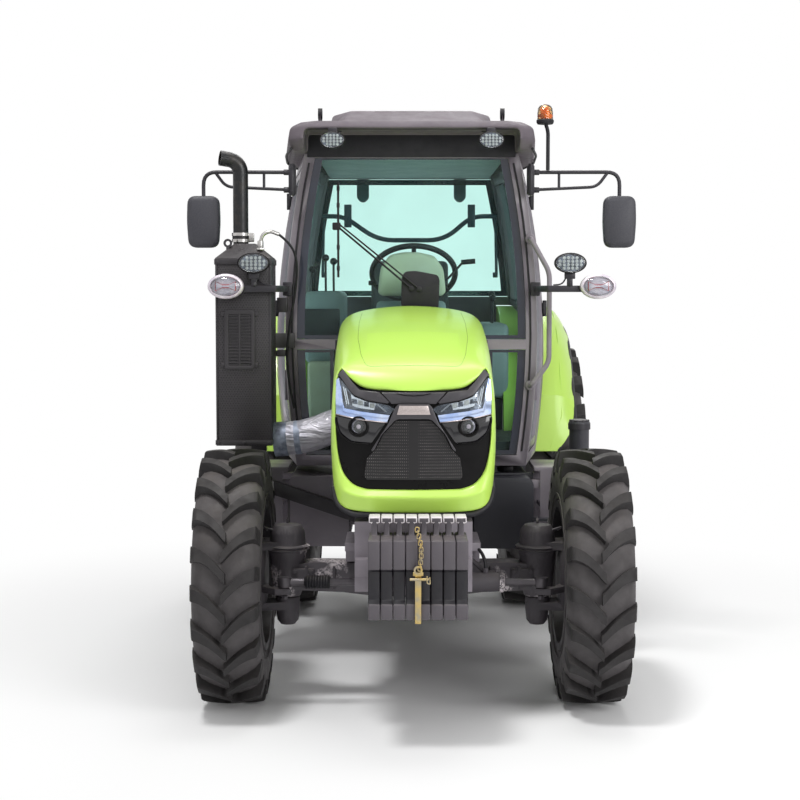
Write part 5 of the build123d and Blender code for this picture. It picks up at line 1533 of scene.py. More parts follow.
def build_roof(_):
    shell = dressed("cab_roof", 0.0, 22, 1.0)
    for vert in shell.data.vertices:
        rise = (vert.co.z - 2.578) / 0.112
        if rise > 0.1 and abs(vert.co.x) < 0.4:
            vert.co.x *= 1 + 0.18 * rise
            vert.co.z -= 0.03 * rise
    modify(shell, "REMESH", mode="VOXEL", voxel_size=0.01)
    modify(shell, "SMOOTH", factor=0.5, iterations=12)
    modify(shell, "DECIMATE", ratio=0.3)
    piece(smooth(shell, 50), "roof_shell", "roof", "roof_plastic", "cab_roof")
    trims = []
    for s in SIDES:
        gutter = [(s * 0.562, -0.63, 2.452), (s * 0.612, -0.25, 2.452), (s * 0.64, 0.25, 2.452),
            (s * 0.6, 0.7, 2.452), (s * 0.556, 1.06, 2.452)]
        trims += [tube(gutter, 0.006, 0.1, 3)]
        for y in (-0.33, 0.78):
            trims += [drum((s * 0.462, y + dy, 2.585), 0.009, 0.014, "Z", 6, 0.001) for dy in (-0.02, 0.02)]
    for s in SIDES:
        for y in (-0.33, 0.78):
            trims += [hoop((s * 0.44, y, 2.645), 0.0135, 0.027, 0.01, "X", 24),
                slab((s * 0.44 - 0.009, y - 0.018, 2.574), (s * 0.44 + 0.009, y + 0.018, 2.622), 0.003)]
    lip = tube([(-0.498, -0.665, 2.5405), (0.498, -0.665, 2.5405)], 0.004, 0.01, 3)
    grilles = [slab((-0.2, -0.1 + 0.055 * k, 2.539), (0.2, -0.075 + 0.055 * k, 2.5445), 0.001)
        for k in range(13)]
    piece(trims + grilles + [lip], "roof_trim", "seal", "black_plastic")

    lamps, holders = [], []
    for s in SIDES:
        lamps += [work_lamp(s * 0.365, -0.735, 2.482, 0.06, 0.04)]
        holders += [slab((s * 0.365 - 0.02, -0.705, 2.515), (s * 0.365 + 0.02, -0.668, 2.541), 0.004),
            tube([(s * 0.365, -0.675, 2.5), (s * 0.365, -0.6, 2.525), (s * 0.33, -0.56, 2.539)], 0.004, 0.03)]
    piece(lamps, "roof_lamp_units", None, "clear_lens", "roof_lamps", angle=0)
    piece(holders, "roof_lamp_holders", "plastic", "black_plastic")

    x, y = 0.632, -0.497
    post = tube([(0.646, y, 2.3625), (0.646, y, 2.545), (0.634, y, 2.582)], 0.009, 0.03)
    cup = turned([(-0.012, 0), (-0.012, 0.036), (-0.004, 0.041), (0.006, 0.0415), (0.01, 0.038), (0.01, 0)],
        (x, y, 2.59), "Z", 48)
    piece([post, cup], "beacon_base", "seal", "black_plastic", "beacon")
    core = turned([(0.002, 0), (0.002, 0.034), (0.012, 0.036), (0.022, 0.036), (0.024, 0.031), (0.05, 0.03),
        (0.06, 0.024), (0.064, 0)], (x, y, 2.6), "Z", 48)
    piece(smooth(core), "beacon_core", "amber_core", "amber_lens")
    dome = turned([(0.001, 0.0375), (0.03, 0.037), (0.052, 0.0345), (0.064, 0.026), (0.0705, 0.012),
        (0.072, 0), (0.0695, 0), (0.062, 0.0235), (0.05, 0.0325), (0.03, 0.035), (0.001, 0.0355)],
        (x, y, 2.6), "Z", 48)
    piece(smooth(dome), "beacon_dome", "amber", "amber_lens")


class TRACTOR_OT_roof(PieceOperator, bpy.types.Operator):
    """Moulded roof with its raised middle, gutter, lifting eyes and grille slats"""
    bl_idname = "tractor.roof"
    bl_label = "Roof"
    make = staticmethod(build_roof)


def build_mirrors(_):
    arms, heads, glasses = [], [], []
    y = -0.5
    for s in SIDES:
        parts = [tube([(s * 0.572, y + 0.014, 2.353), (s * 0.986, y, 2.353), (s * 0.986, y, 2.2)], 0.0092,
            0.062, 5), tube([(s * 0.572, y + 0.014, 2.27), (s * 0.88, y + 0.004, 2.284),
            (s * 0.93, y + 0.002, 2.352)], 0.0075, 0.035, 5),
            tube([(s * 0.7, y + 0.01, 2.275), (s * 0.7, y + 0.01, 2.353)], 0.0065, 0.01, 4)]
        parts += [slab((s * 0.566 - 0.017, y - 0.006, 2.248), (s * 0.566 + 0.017, -0.4505, 2.386), 0.006),
            drum((s * 0.566, y - 0.002, 2.317), 0.013, 0.15, "Z", 24, 0.003)]
        for z in (2.27, 2.353):
            parts += [drum((s * 0.592, y + 0.013, z), 0.0135, 0.03, "X", 20, 0.003)]
        for z in (2.262, 2.372):
            parts += [drum((s * 0.566, y - 0.012, z), 0.0075, 0.012, "Y", 6, 0.001)]
        parts += [slab((s * 0.986 - 0.016, y - 0.012, 2.085), (s * 0.986 + 0.016, y + 0.008, 2.225), 0.005),
            drum((s * 0.986, y, 2.213), 0.014, 0.036, "Z", 20, 0.003)]
        arms += parts
        outline = [(s * 0.986 - 0.074, 2.24), (s * 0.986 + 0.074, 2.24), (s * 0.986 + 0.0785, 2.12),
            (s * 0.986 + 0.07, 1.996), (s * 0.986 - 0.07, 1.996), (s * 0.986 - 0.0785, 2.12)]
        head = plate(rounded(outline, 0.04, 6), y - 0.024, 0.05)
        pick(head, lambda c, n: n.y < -0.9)
        bpy.ops.mesh.inset(thickness=0.022)
        bpy.ops.transform.translate(value=(0, -0.01, 0))
        done()
        heads += [soften(head, 0.006, 3, 25)]
        glasses += [plate(rounded([(s * 0.986 + (a - s * 0.986) * 0.88, 2.118 + (b - 2.118) * 0.9) for a,
            b in outline], 0.034, 6), y + 0.0262, 0.001)]
    piece(arms, "mirror_arms", "plastic", "black_plastic", "mirrors")
    piece(heads, "mirror_heads", "grained", "black_plastic", angle=40)
    piece(glasses, "mirror_glass", "chrome", "bright_steel", angle=0)


class TRACTOR_OT_mirrors(PieceOperator, bpy.types.Operator):
    """Mirrors on braced tubes, with clamps and hinge pucks"""
    bl_idname = "tractor.mirrors"
    bl_label = "Mirrors"
    make = staticmethod(build_mirrors)


def build_side_lamps(_):
    y = -0.8
    arms, lenses = [], []
    for s in SIDES:
        bar = [(0.586, -0.4505), (0.606, -0.4505), (0.632, y + 0.03), (0.64, y + 0.01), (0.8, y + 0.01),
            (0.8, y), (0.622, y), (0.608, y + 0.022)]
        arm = plate([(s * a, b) for a, b in bar], 1.786, 0.03, "Z")
        arms += [soften(arm, 0.0025, 2, 30), slab((s * 0.594 - 0.022, -0.4625, 1.768),
            (s * 0.594 + 0.022, -0.4505, 1.834), 0.004), drum((s * 0.722, y + 0.002, 1.822), 0.012, 0.018,
            "Z", 6, 0.002), slab((s * 0.722 - 0.024, y - 0.008, 1.846), (s * 0.722 + 0.024, y + 0.016, 1.876),
            0.003), slab((s * 0.722 - 0.013, y - 0.004, 1.814), (s * 0.722 + 0.013, y + 0.012, 1.85), 0.003),
            tube([(s * 0.722, y + 0.04, 1.905), (s * 0.715, y + 0.06, 1.86), (s * 0.69, y + 0.03, 1.822),
            (s * 0.65, y + 0.04, 1.818)], 0.0036, 0.03)]
        flood = work_lamp(s * 0.722, y - 0.02, 1.918, 0.074, 0.047)
        lenses += [flood]
        x, z = s * 0.85, 1.812
        back = plate(oval(0.08, 0.055, (x, z)), y - 0.008, 0.03)
        lenses += [painted(soften(back, 0.006, 2, 40), "mask")]
        rim = rings(x, z, [(y - 0.006, 0.083, 0.058), (y - 0.03, 0.081, 0.056), (y - 0.036, 0.07, 0.046),
            (y - 0.02, 0.066, 0.043)])
        lenses += [painted(soften(rim, 0.002, 2, 30), "silver"),
            painted(plate(oval(0.066, 0.043, (x, z)), y - 0.019, 0.004), "silver")]
        for shrink, lift, key in ((0, 0.025, "pink"), (0.0045, 0.027, "silver")):
            bow = [(-0.048, 0.024), (-0.018, 0.009), (0.018, 0.009), (0.048, 0.024), (0.048, -0.022),
                (0.018, -0.008), (-0.018, -0.008), (-0.048, -0.022)]
            bow = [(x + a - shrink * (1 if a > 0 else -1), z + b - shrink * (1 if b > 0 else -1)) for a,
                b in bow]
            lenses += [painted(plate(rounded(bow, 0.004), y - lift, 0.008), key)]
        cover = rings(x, z, [(y - 0.03, 0.069, 0.045), (y - 0.04, 0.054, 0.034), (y - 0.044, 0.03, 0.019),
            (y - 0.045, 0.002, 0.001)], 0.002)
        lenses += [painted(cover, "clear")]
    piece(arms, "side_lamp_arms", "plastic", "black_plastic", "side_lamps")
    piece(lenses, "side_lamp_units", None, "clear_lens", angle=40)


class TRACTOR_OT_side_lamps(PieceOperator, bpy.types.Operator):
    """Side arms with a marker lens and an oval work lamp on each"""
    bl_idname = "tractor.side_lamps"
    bl_label = "Side lamps"
    make = staticmethod(build_side_lamps)


# ---------------------------------------------------------------- exhaust
def build_exhaust(_):
    x0, x1, y0, y1, z0, z1 = -0.905, -0.648, -0.75, -0.48, 1.075, 1.942
    box = dressed("exhaust_box", 0.004, 30)
    painted(box, "perforated", "box")
    for face in box.data.polygons:
        x, y, z = face.center
        flat = face.area > 0.01 and z0 + 0.05 < z < z1 - 0.02 and (y < y0 + 0.002 or abs(x - x0) < 0.002
            or abs(x - x1) < 0.002 or y > y1 - 0.002)
        face.material_index = 0 if flat else 1
    piece(box, "exhaust_casing", None, "dark_paint", "exhaust_box")
    parts = []
    for z, high in ((z1 - 0.03, 0.026), (z0 + 0.004, 0.022)):
        for lo, hi in (((x0 - 0.004, y0 - 0.004, z), (x1 + 0.004, y0, z + high)),
                ((x0 - 0.004, y1, z), (x1 + 0.004, y1 + 0.004, z + high)),
                ((x0 - 0.004, y0, z), (x0, y1, z + high)), ((x1, y0, z), (x1 + 0.004, y1, z + high))):
            parts += [slab(lo, hi, 0.0012)]
    for x in (x0 + 0.001, x1 - 0.009):
        parts += [slab((x, y0 - 0.003, z0 + 0.026), (x + 0.008, y0, z1 - 0.032), 0.001)]
    lx0, lx1, lz0, lz1 = -0.864, -0.724, 1.431, 1.705
    outer, inner = rounded([(lx0, lz0), (lx1, lz0), (lx1, lz1), (lx0, lz1)],
        0.016), rounded([(lx0 + 0.019, lz0 + 0.016), (lx1 - 0.016, lz0 + 0.016), (lx1 - 0.016, lz1 - 0.022),
        (lx0 + 0.019, lz1 - 0.022)], 0.006)
    frame_ring = surround(outer, inner, y0 - 0.003, y0 - 0.012)
    parts += [soften(frame_ring, 0.002, 2, 30)]
    # a dark plate behind the louvre blades, seen between them: painted shade in the slots
    back = slab((lx0 + 0.008, y0 - 0.004, lz0 + 0.008), (lx1 - 0.008, y0 - 0.0005, lz1 - 0.008))
    piece(back, "louvre_back", "seal", "dark_paint")
    middle = (lx0 + lx1) / 2
    pitch = (lz1 - lz0 - 0.038) / 16
    blade = slab((lx0 + 0.017, y0 - 0.011, lz0 + 0.016), (lx1 - 0.014, y0 - 0.006, lz0 + 0.016
        + pitch * 0.36), 0.001)
    parts += [copied(blade, (0, 0, pitch * (k + 0.8))) for k in range(15)]
    dropped(blade)
    parts += [slab((middle - 0.004, y0 - 0.0112, lz0 + 0.012), (middle + 0.004, y0 - 0.006, lz1 - 0.018),
        0.001)]
    for x, z in ((lx0 - 0.008, lz0 + 0.02), (lx1 + 0.008, lz0 + 0.02), (lx0 - 0.008, lz1 - 0.02),
            (lx1 + 0.008, lz1 - 0.02)):
        parts += [slab((x - 0.008, y0 - 0.009, z - 0.01), (x + 0.008, y0 - 0.001, z + 0.01), 0.002)]
    heads = [(x, y0 - 0.004, z) for x in (x0 + 0.012, (x0 + x1) / 2, x1 - 0.012) for z in (z1 - 0.017,
        z0 + 0.015)]
    parts += [bolts(heads, 0.006, -0.006, "Y")]
    eye = hoop((-0.852, -0.69, 2.012), 0.01, 0.02, 0.006, "Y", 28)
    stem = drum((-0.852, -0.69, 1.985), 0.008, 0.022, "Z", 16, 0.002)
    parts += [eye, stem]
    piece(parts, "exhaust_trim", "box", "dark_paint")

    x, y = -0.8, -0.605
    stack = dressed("exhaust_stack", 0.0)
    piece(smooth(stack, 50), "stack", "stack", "dark_paint", "exhaust_stack")
    clamps = []
    for z in (2.055, 2.026):
        clamps += [hoop((x, y, z), 0.036, 0.0425, 0.007, "Z", 40)]
    clamps += [slab((x + 0.036, y - 0.01, 2.02), (x + 0.062, y + 0.01, 2.062), 0.003),
        drum((x + 0.05, y - 0.016, 2.041), 0.005, 0.03, "Y", 6, 0.001)]
    piece(clamps, "stack_clamps", "steel", "bright_steel")

    route = [Vector(p) for p in ((-0.1775, -0.64, 1.196), (-0.33, -0.64, 1.172), (-0.49, -0.622, 1.106),
        (-0.6465, -0.615, 1.092))]
    wrap = painted(tube(route, 0.079, 0.09, 8), "foil")
    along = (route[3] - route[2]).normalized()
    band = painted(tube([route[2] + along * 0.03, route[2] + along * 0.058], 0.0805, 0.01, 8), "band")
    collar = painted(tube([route[3] - along * 0.064, route[3]], 0.0815, 0.01, 8), "band")
    piece([wrap, band, collar], "pipe_wrap", None, "foil_wrap", "exhaust_pipe", angle=60)
    sensor = [drum((-0.7, -0.7, 2.003), 0.014, 0.04, "Z", 20, 0.003), drum((-0.7, -0.7, 1.985), 0.019, 0.01,
        "Z", 6, 0.002)]
    sleeve = tube([(-0.7, -0.7, 2.018), (-0.69, -0.702, 2.052), (-0.655, -0.7, 2.068),
        (-0.615, -0.69, 2.052)], 0.0085, 0.03, 4)
    piece(sensor + [sleeve], "exhaust_sensor", "steel", "bright_steel")
    hose = tube([(-0.618, -0.691, 2.054), (-0.56, -0.672, 2.01), (-0.532, -0.64, 1.925), (-0.545, -0.6, 1.79),
        (-0.585, -0.54, 1.6), (-0.6, -0.49, 1.4), (-0.56, -0.5, 1.23)], 0.0058, 0.06, 4, flowing=True)
    piece(smooth(hose), "sensor_hose", "seal", "black_plastic")
    hinge = [slab((-0.64, -0.52, 1.69), (-0.592, -0.4515, 1.76), 0.004), slab((-0.645, -0.53, 1.48),
        (-0.6, -0.4515, 1.51), 0.004)]
    piece(hinge, "exhaust_brackets", "box", "dark_paint")


class TRACTOR_OT_exhaust(PieceOperator, bpy.types.Operator):
    """Perforated exhaust box with louvres, stack, wrapped pipe, sensor and hose"""
    bl_idname = "tractor.exhaust"
    bl_label = "Exhaust"
    make = staticmethod(build_exhaust)


# ---------------------------------------------------------------- wings, tank, steps
def drawn_in(obj, crown_y=1.05, crown_z=WHEEL_RADIUS["rear"]):
    """Rounds a wing's outer shoulder down towards the wheel and its foot inwards."""
    for vert in obj.data.vertices:
        x, y, z = vert.co
        out = (abs(x) - 0.755) / 0.123
        if out > 0 and z > 1.0:
            ray = Vector((0, y - crown_y, z - crown_z))
            drop = 0.13 * min(1.0, (z - 1.0) / 0.45) * out ** 2
            vert.co -= ray.normalized() * drop
        if abs(x) > 0.62 and z < 1.16:
            vert.co.x -= (1 if x > 0 else -1) * 0.4 * (abs(x) - 0.62) * ((1.16 - z) / 0.21) ** 2
    return obj


def build_wings(_):
    wings = dressed("fenders", 0.0, 30, 1.0)
    for plane, across in [((s * x, 0, 0), (1, 0, 0)) for s in SIDES for x in (0.7, 0.76, 0.79, 0.82,
            0.845)] + [((0, 0, z), (0, 0, 1)) for z in (1.0, 1.05, 1.1, 1.15, 1.35, 1.56)]:
        edit(wings)
        bpy.ops.mesh.bisect(plane_co=plane, plane_no=across)
        done()
    drawn_in(wings)
    soften(wings, 0.003, 2, 40)
    piece(smooth(wings, 42), "wing_sheets", "lime", "lime_paint", "fenders")
    line = [(0.232, 0.95), (0.3, 1.24), (0.43, 1.48), (0.64, 1.64), (0.9, 1.7), (1.24, 1.69), (1.5, 1.56),
        (1.69, 1.3), (1.74, 1.13)]
    strips, ribs = [], []
    for s in SIDES:
        strips += [tube([(s * 0.874, y, z + 0.004) for y, z in line], 0.011, 0.12, 4),
            tube([(s * 0.868, y, z - 0.02) for y, z in line], 0.007, 0.12, 4)]
        ribs += [tube([(s * 0.8, y - 0.004, z + 0.0085) for y, z in line], 0.004, 0.12, 3)]
    piece(smooth(drawn_in(joined("edges", strips))), "wing_edges", "seal", "black_plastic")
    piece(smooth(drawn_in(joined("ribs", ribs)), 50), "wing_seams", "lime", "lime_paint")
    lamps = []
    for s in SIDES:
        holder = slab((s * 0.65, 1.553, 1.47), (s * 0.84, 1.585, 1.565), 0.008)
        lamps += [painted(holder, "plastic")]
        for x0, x1, key in ((0.658, 0.722, "red"), (0.724, 0.788, "amber_core"), (0.79, 0.832, "led")):
            lamps += [painted(slab((s * x0, 1.583, 1.478), (s * x1, 1.603, 1.558), 0.006), key)]
    piece(lamps, "tail_lamp_units", None, "red_lens", "tail_lamps")


class TRACTOR_OT_wings(PieceOperator, bpy.types.Operator):
    """Rear wings with a rolled rubber edge, stiffening seams and tail lamps"""
    bl_idname = "tractor.wings"
    bl_label = "Wings"
    make = staticmethod(build_wings)


def build_tank(_):
    eased("fuel_tank", "tank", 0.006, 30, "grained", "black_plastic")
    eased("steps", "ladders", 0.003, 30, "dark", "dark_paint")
    parts, metal = [], []
    parts += [hoop((0.8, -0.535, 1.148), 0.047, 0.053, 0.014, "Z", 48),
        turned([(0, 0), (0, 0.043), (0.012, 0.045), (0.03, 0.043), (0.034, 0.03), (0.034, 0)],
        (0.8, -0.535, 1.148), "Z", 48)]
    for k in range(10):
        a = 2 * pi * k / 10
        parts += [slab((0.8 + 0.043 * cos(a) - 0.005, -0.535 + 0.043 * sin(a) - 0.005, 1.156),
            (0.8 + 0.043 * cos(a) + 0.005, -0.535 + 0.043 * sin(a) + 0.005, 1.18), 0.002)]
    metal += [hoop((0.8, -0.535, 0.96), 0.0468, 0.0495, 0.01, "Z", 48), hoop((0.8, -0.535, 0.78), 0.0468,
        0.0495, 0.01, "Z", 48)]
    cap = turned([(0, 0), (0, 0.038), (0.02, 0.038), (0.026, 0.03), (0.026, 0)], (0.47, -0.2, 0.899), "Z", 40)
    parts += [cap]
    for s in SIDES:
        for k in range(3):
            x0, x1 = 0.652 + 0.024 * k, 0.79
            z = 0.738 - 0.165 * k
            for j in range(6):
                x = x0 + (x1 - x0) * (j + 0.5) / 6
                metal += [slab((s * x - 0.004, -0.445, z - 0.001), (s * x + 0.004, -0.127, z + 0.004), 0.001)]
    piece(parts, "canister_cap", "plastic", "black_plastic")
    piece(metal, "tread_bars", "cast", "dark_paint")
    rail = tube([(0.568, -0.4505, 2.04), (0.568, -0.498, 2.04), (0.657, -0.498, 1.88), (0.657, -0.498, 1.45),
        (0.572, -0.498, 1.338), (0.572, -0.4505, 1.338)], 0.0122, 0.035, 5)
    feet = [drum((x, -0.4565, z), 0.024, 0.01, "Y", 24, 0.003) for x, z in ((0.568, 2.04), (0.572, 1.338))]
    piece([rail] + feet, "rail", "dark", "dark_paint", "grab_rail")


class TRACTOR_OT_tank(PieceOperator, bpy.types.Operator):
    """Fuel tank, straps, filler canister with its collar and ladders"""
    bl_idname = "tractor.tank"
    bl_label = "Tank and steps"
    make = staticmethod(build_tank)


# ---------------------------------------------------------------- front end
def build_weights(_):
    plates = dressed("front_weights", 0.0045, 30)
    painted(plates, "weight", "grip", "recess_painted_shade")
    for face in plates.data.polygons:
        # faces across the recess band take the near-black finish, painted shade in the recess; faces high up take the
        # grips
        face.material_index = 1 if face.center.z > 0.8815 else 2 if 0.59 < face.center.z < 0.7225 else 0
    piece(plates, "weight_plates", None, "dark_paint", "front_weights")
    x, y = 0.015, -2.052
    bar = dressed("weight_lock", 0.002, 30)
    piece(bar, "lock_bar", "zinc", "zinc_plate", "weight_lock")
    parts = []
    eye = hoop((x, y - 0.006, 0.725), 0.01, 0.017, 0.004, "Y", 28)
    pin = tube([(x - 0.032, y - 0.012, 0.69), (x + 0.04, y - 0.012, 0.69)], 0.0055, 0.01, 4)
    clip = tube([(x + 0.034, y - 0.016, 0.704), (x + 0.034, y - 0.02, 0.676), (x + 0.046, y - 0.014, 0.672),
        (x + 0.044, y - 0.014, 0.7)], 0.0024, 0.006, 3)
    parts += [eye, pin, clip]
    link = tube([(0, 0, 0), (0.007, 0, 0), (0.007, 0, 0.019), (-0.007, 0, 0.019), (-0.007, 0, 0), (0, 0, 0)],
        0.0021, 0.0068, 3)
    for k in range(13):
        t = k / 12
        sway = 0.01 * sin(pi * t)
        twin = copied(link, turn=(pi / 2) * (k % 2), axis="Z")
        parts += [copied(twin, (x + 0.006 + sway - 0.01 * t, y - 0.008 - 0.004 * sin(pi * t),
            0.722 + 0.0125 * k))]
        dropped(twin)
    dropped(link)
    piece(parts, "lock_chain", "zinc", "zinc_plate")


class TRACTOR_OT_weights(PieceOperator, bpy.types.Operator):
    """Hooked front weights with their grips, lock bar, pin and chain"""
    bl_idname = "tractor.weights"
    bl_label = "Weights"
    make = staticmethod(build_weights)


def build_front_axle(_):
    y, z = FRONT_AXLE_Y, WHEEL_RADIUS["front"]
    for node, width, key in (("front_axle", 0.006, "axle"), ("steering_cylinder", 0.003, "cast"),
            ("front_support", 0.005, "dark")):
        piece(dressed(node, width, 35), node + "_soft", key, "dark_paint", node)
    beam = []
    for s in SIDES:
        for x in (0.22, 0.34, 0.46):
            beam += [slab((s * x - 0.006, y - 0.075, z - 0.052), (s * x + 0.006, y - 0.055, z + 0.05), 0.003)]
        beam += [slab((s * 0.475 - 0.05, y - 0.073, z - 0.04), (s * 0.475 + 0.05, y - 0.056, z + 0.04),
            0.006)]
        spots = [(s * 0.475 + dx, y - 0.074, z + dz) for dx in (-0.036, 0.036) for dz in (-0.028, 0.028)]
        beam += [bolts(spots, 0.009, -0.012, "Y")]
        end = 0.31 if s > 0 else 0.15
        beam += [tube([(s * (end - 0.11), y - 0.1, z + 0.08), (s * (end - 0.07), y - 0.13, z + 0.1),
            (s * (end - 0.01), y - 0.165, z + 0.05), (s * end, y - 0.185, z + 0.03)], 0.01, 0.05, 5)]
    beam += [bolts([(a, y - 0.102, z + b) for a, b in oval(0.082, 0.082, steps=10) if abs(b) < 0.075], 0.009,
        -0.012, "Y")]
    piece(beam, "axle_fittings", "cast", "dark_paint")

    for side, s in (("left", 1), ("right", -1)):
        node = f"knuckle_{side}"
        piece(dressed(node, 0.005, 35), f"swivel_{side}", "cast", "dark_paint", node)
        parts = []
        top = [(s * 0.545 + 0.066 * cos(2 * pi * k / 6 + 0.3), y + 0.066 * sin(2 * pi * k / 6 + 0.3),
            z + 0.136) for k in range(6)]
        parts += [bolts(top, 0.009, 0.016, "Z")]
        nipple = drum((s * 0.545, y, z + 0.236), 0.006, 0.02, "Z", 6, 0.001)
        parts += [nipple, drum((s * 0.545, y, z + 0.249), 0.0032, 0.01, "Z", 12, 0.001)]
        hubs = [(s * 0.692, a, b) for a, b in oval(0.135, 0.135, (y, z), 8)]
        parts += [bolts(hubs, 0.01, s * 0.014, "X"),
            tube([(s * 0.6, y - 0.03, z + 0.2), (s * 0.65, y - 0.02, z + 0.215),
            (s * 0.64, y + 0.06, z + 0.19)], 0.005, 0.02, 4),
            turned([(-0.012, 0.086), (-0.006, 0.097), (0.0, 0.088), (0.006, 0.097), (0.012, 0.086),
            (0.012, 0.08), (-0.012, 0.08)], (s * 0.545, y, z + 0.1247), "Z", 40)]
        ball = drum((s * 0.545, y - 0.19, z - 0.03), 0.02, 0.02, "Z", 24, 0.004)
        nut = drum((s * 0.545, y - 0.19, z - 0.062), 0.014, 0.016, "Z", 6, 0.002)
        parts += [ball, nut]
        piece(parts, f"swivel_bolts_{side}", "axle", "dark_paint", on=node)
    rod_y, rod_z = y - 0.19, 0.556
    rod = dressed("steering_rod", 0.002, 35)
    painted(rod, "rod", "seal")
    for face in rod.data.polygons:
        face.material_index = int(-0.47 < face.center.x < -0.34)
    piece(rod, "tie_rod", None, "bright_steel", "steering_rod")
    folds = []
    for k in range(9):
        x = -0.456 + 0.0114 * k
        folds += [(x, 0.0245), (x + 0.0055, 0.0305)]
    profile = [(-0.462, 0.0175)] + folds + [(-0.352, 0.0245), (-0.352, 0.0175)]
    piece(smooth(turned(profile, (0, rod_y, rod_z), "X", 32), 50), "rod_bellows", "seal", "black_plastic",
        on="steering_rod")
    ends = [turned([(0.0, 0.0185), (0.0, 0.044), (0.014, 0.045), (0.022, 0.036), (0.022, 0.0185)],
        (0.368, rod_y, rod_z), "X", 40), turned([(0.0, 0.0185), (0.0, 0.036), (-0.012, 0.036),
        (-0.012, 0.0185)], (-0.212, rod_y, rod_z), "X", 40)]
    ports = [drum((x, rod_y, rod_z + 0.046), 0.011, 0.026, "Z", 6, 0.002) for x in (-0.15, 0.31)]
    hoses = [tube([(x, rod_y, rod_z + 0.055), (x, rod_y + 0.01, rod_z + 0.11),
        (x * 0.8, rod_y + 0.1, rod_z + 0.16), (x * 0.55, rod_y + 0.25, rod_z + 0.13)], 0.0075, 0.05, 4,
        flowing=True) for x in (-0.15, 0.31)]
    piece(ends + ports, "cylinder_ends", "axle", "dark_paint")
    for k, hose in enumerate(hoses):
        piece(smooth(hose), f"steering_hose_{k}", "seal", "black_plastic")


class TRACTOR_OT_front_axle(PieceOperator, bpy.types.Operator):
    """Axle beam, swivel cases, their bolts, grease nipples, steering cylinder, bellows and hoses"""
    bl_idname = "tractor.front_axle"
    bl_label = "Front axle"
    make = staticmethod(build_front_axle)


def build_engine_bay(_):
    for node in ("engine_block", "transmission"):
        piece(dressed(node, 0.006, 35), node + "_soft", "cast", "cast_block", node)
    parts = []
    for s in SIDES:
        for k in range(7):
            yy = -1.36 + 0.125 * k
            parts += [slab((s * 0.176 - 0.006, yy - 0.006, 0.78), (s * 0.176 + 0.006, yy + 0.006, 1.2),
                0.003)]
        spots = [(s * 0.182, -1.39 + 0.12 * k, z) for k in range(8) for z in (0.745, 1.238)]
        parts += [bolts(spots, 0.009, s * 0.012, "X")]
        for k in range(6):
            yy = -0.4 + 0.16 * k
            parts += [slab((s * 0.165 - 0.005, yy - 0.006, 0.53), (s * 0.165 + 0.007, yy + 0.006, 0.9),
                0.003)]
    for k in range(4):
        yy = -1.28 + 0.19 * k
        parts += [slab((-0.095, yy - 0.07, 1.34), (0.095, yy + 0.07, 1.366), 0.01)]
    piece(parts, "casting_ribs", "cast", "cast_block")
    filters = [drum((0.245, -0.8, 1.0), 0.05, 0.16, "Z", 32, 0.006), drum((0.245, -0.95, 1.02), 0.042, 0.14,
        "Z", 32, 0.006), drum((0.215, -0.8, 1.085), 0.03, 0.07, "X", 24, 0.004)]
    filters += [drum((0.215, -0.95, 1.09), 0.026, 0.07, "X", 24, 0.004), drum((-0.23, -1.1, 0.9), 0.055, 0.2,
        "Y", 32, 0.008), slab((-0.232, -1.15, 0.88), (-0.165, -1.05, 0.92), 0.004)]
    piece(filters, "filters", "plastic", "black_plastic")
    hoses = [tube([(0.24, -0.45, 0.8), (0.3, -0.52, 0.78), (0.33, -0.6, 0.86), (0.29, -0.72, 0.95),
        (0.24, -0.8, 0.93)], 0.011, 0.05, 5, flowing=True),
        tube([(-0.18, -0.6, 0.86), (-0.26, -0.64, 0.84), (-0.3, -0.72, 0.92), (-0.26, -0.86, 0.98),
        (-0.178, -0.92, 0.98)], 0.011, 0.05, 5, flowing=True)]
    for k, hose in enumerate(hoses):
        piece(smooth(hose), f"bay_hose_{k}", "seal", "black_plastic")
    fins = [slab((-0.235, -1.607, 0.885 + 0.0155 * k), (0.235, -1.599, 0.889 + 0.0155 * k))
        for k in range(31)]
    piece(fins, "radiator_fins", "steel", "cast_block", angle=0)


class TRACTOR_OT_engine_bay(PieceOperator, bpy.types.Operator):
    """Engine and gearbox castings with ribs, bolts, filters, hoses and radiator fins"""
    bl_idname = "tractor.engine_bay"
    bl_label = "Engine bay"
    make = staticmethod(build_engine_bay)


def build_linkage(_):
    for node, key, slot in (("lower_links", "cast", "dark_paint"), ("lift_arms", "cast", "dark_paint"),
            ("lift_rods", "steel", "bright_steel"), ("top_link", "steel", "bright_steel"),
            ("drawbar", "cast", "dark_paint")):
        piece(dressed(node, 0.003, 35), node + "_soft", key, slot, node)
    top_y, top_z = 1.29, 0.925
    threads = []
    for y0, y1 in ((1.345, 1.415), (1.725, 1.795)):
        folds = []
        count = int((y1 - y0) / 0.005)
        for k in range(count):
            folds += [(y0 - top_y + 0.005 * k, 0.0142), (y0 - top_y + 0.005 * k + 0.0025, 0.0165)]
        profile = [(y0 - top_y, 0.01)] + folds + [(y1 - top_y, 0.0142), (y1 - top_y, 0.01)]
        threads += [turned(profile, (0, top_y, top_z), "Y", 24)]
    handle = tube([(0.02, 1.57, top_z + 0.01), (0.06, 1.57, top_z + 0.03), (0.06, 1.49, top_z + 0.03)], 0.006,
        0.02, 4)
    piece(threads + [handle], "top_link_threads", "zinc", "zinc_plate", on="top_link")
    spots = [(x, 1.2405, z) for x in (-0.13, 0.13) for z in (0.5, 0.86, 0.91)]
    covers = [bolts(spots, 0.012, 0.014, "Y")]
    covers += [bolts([(0.04 * cos(k * pi / 3), 1.2755, 0.64 + 0.04 * sin(k * pi / 3)) for k in range(6)],
        0.005, 0.006, "Y")]
    piece(covers, "rear_bolts", "steel", "bright_steel")


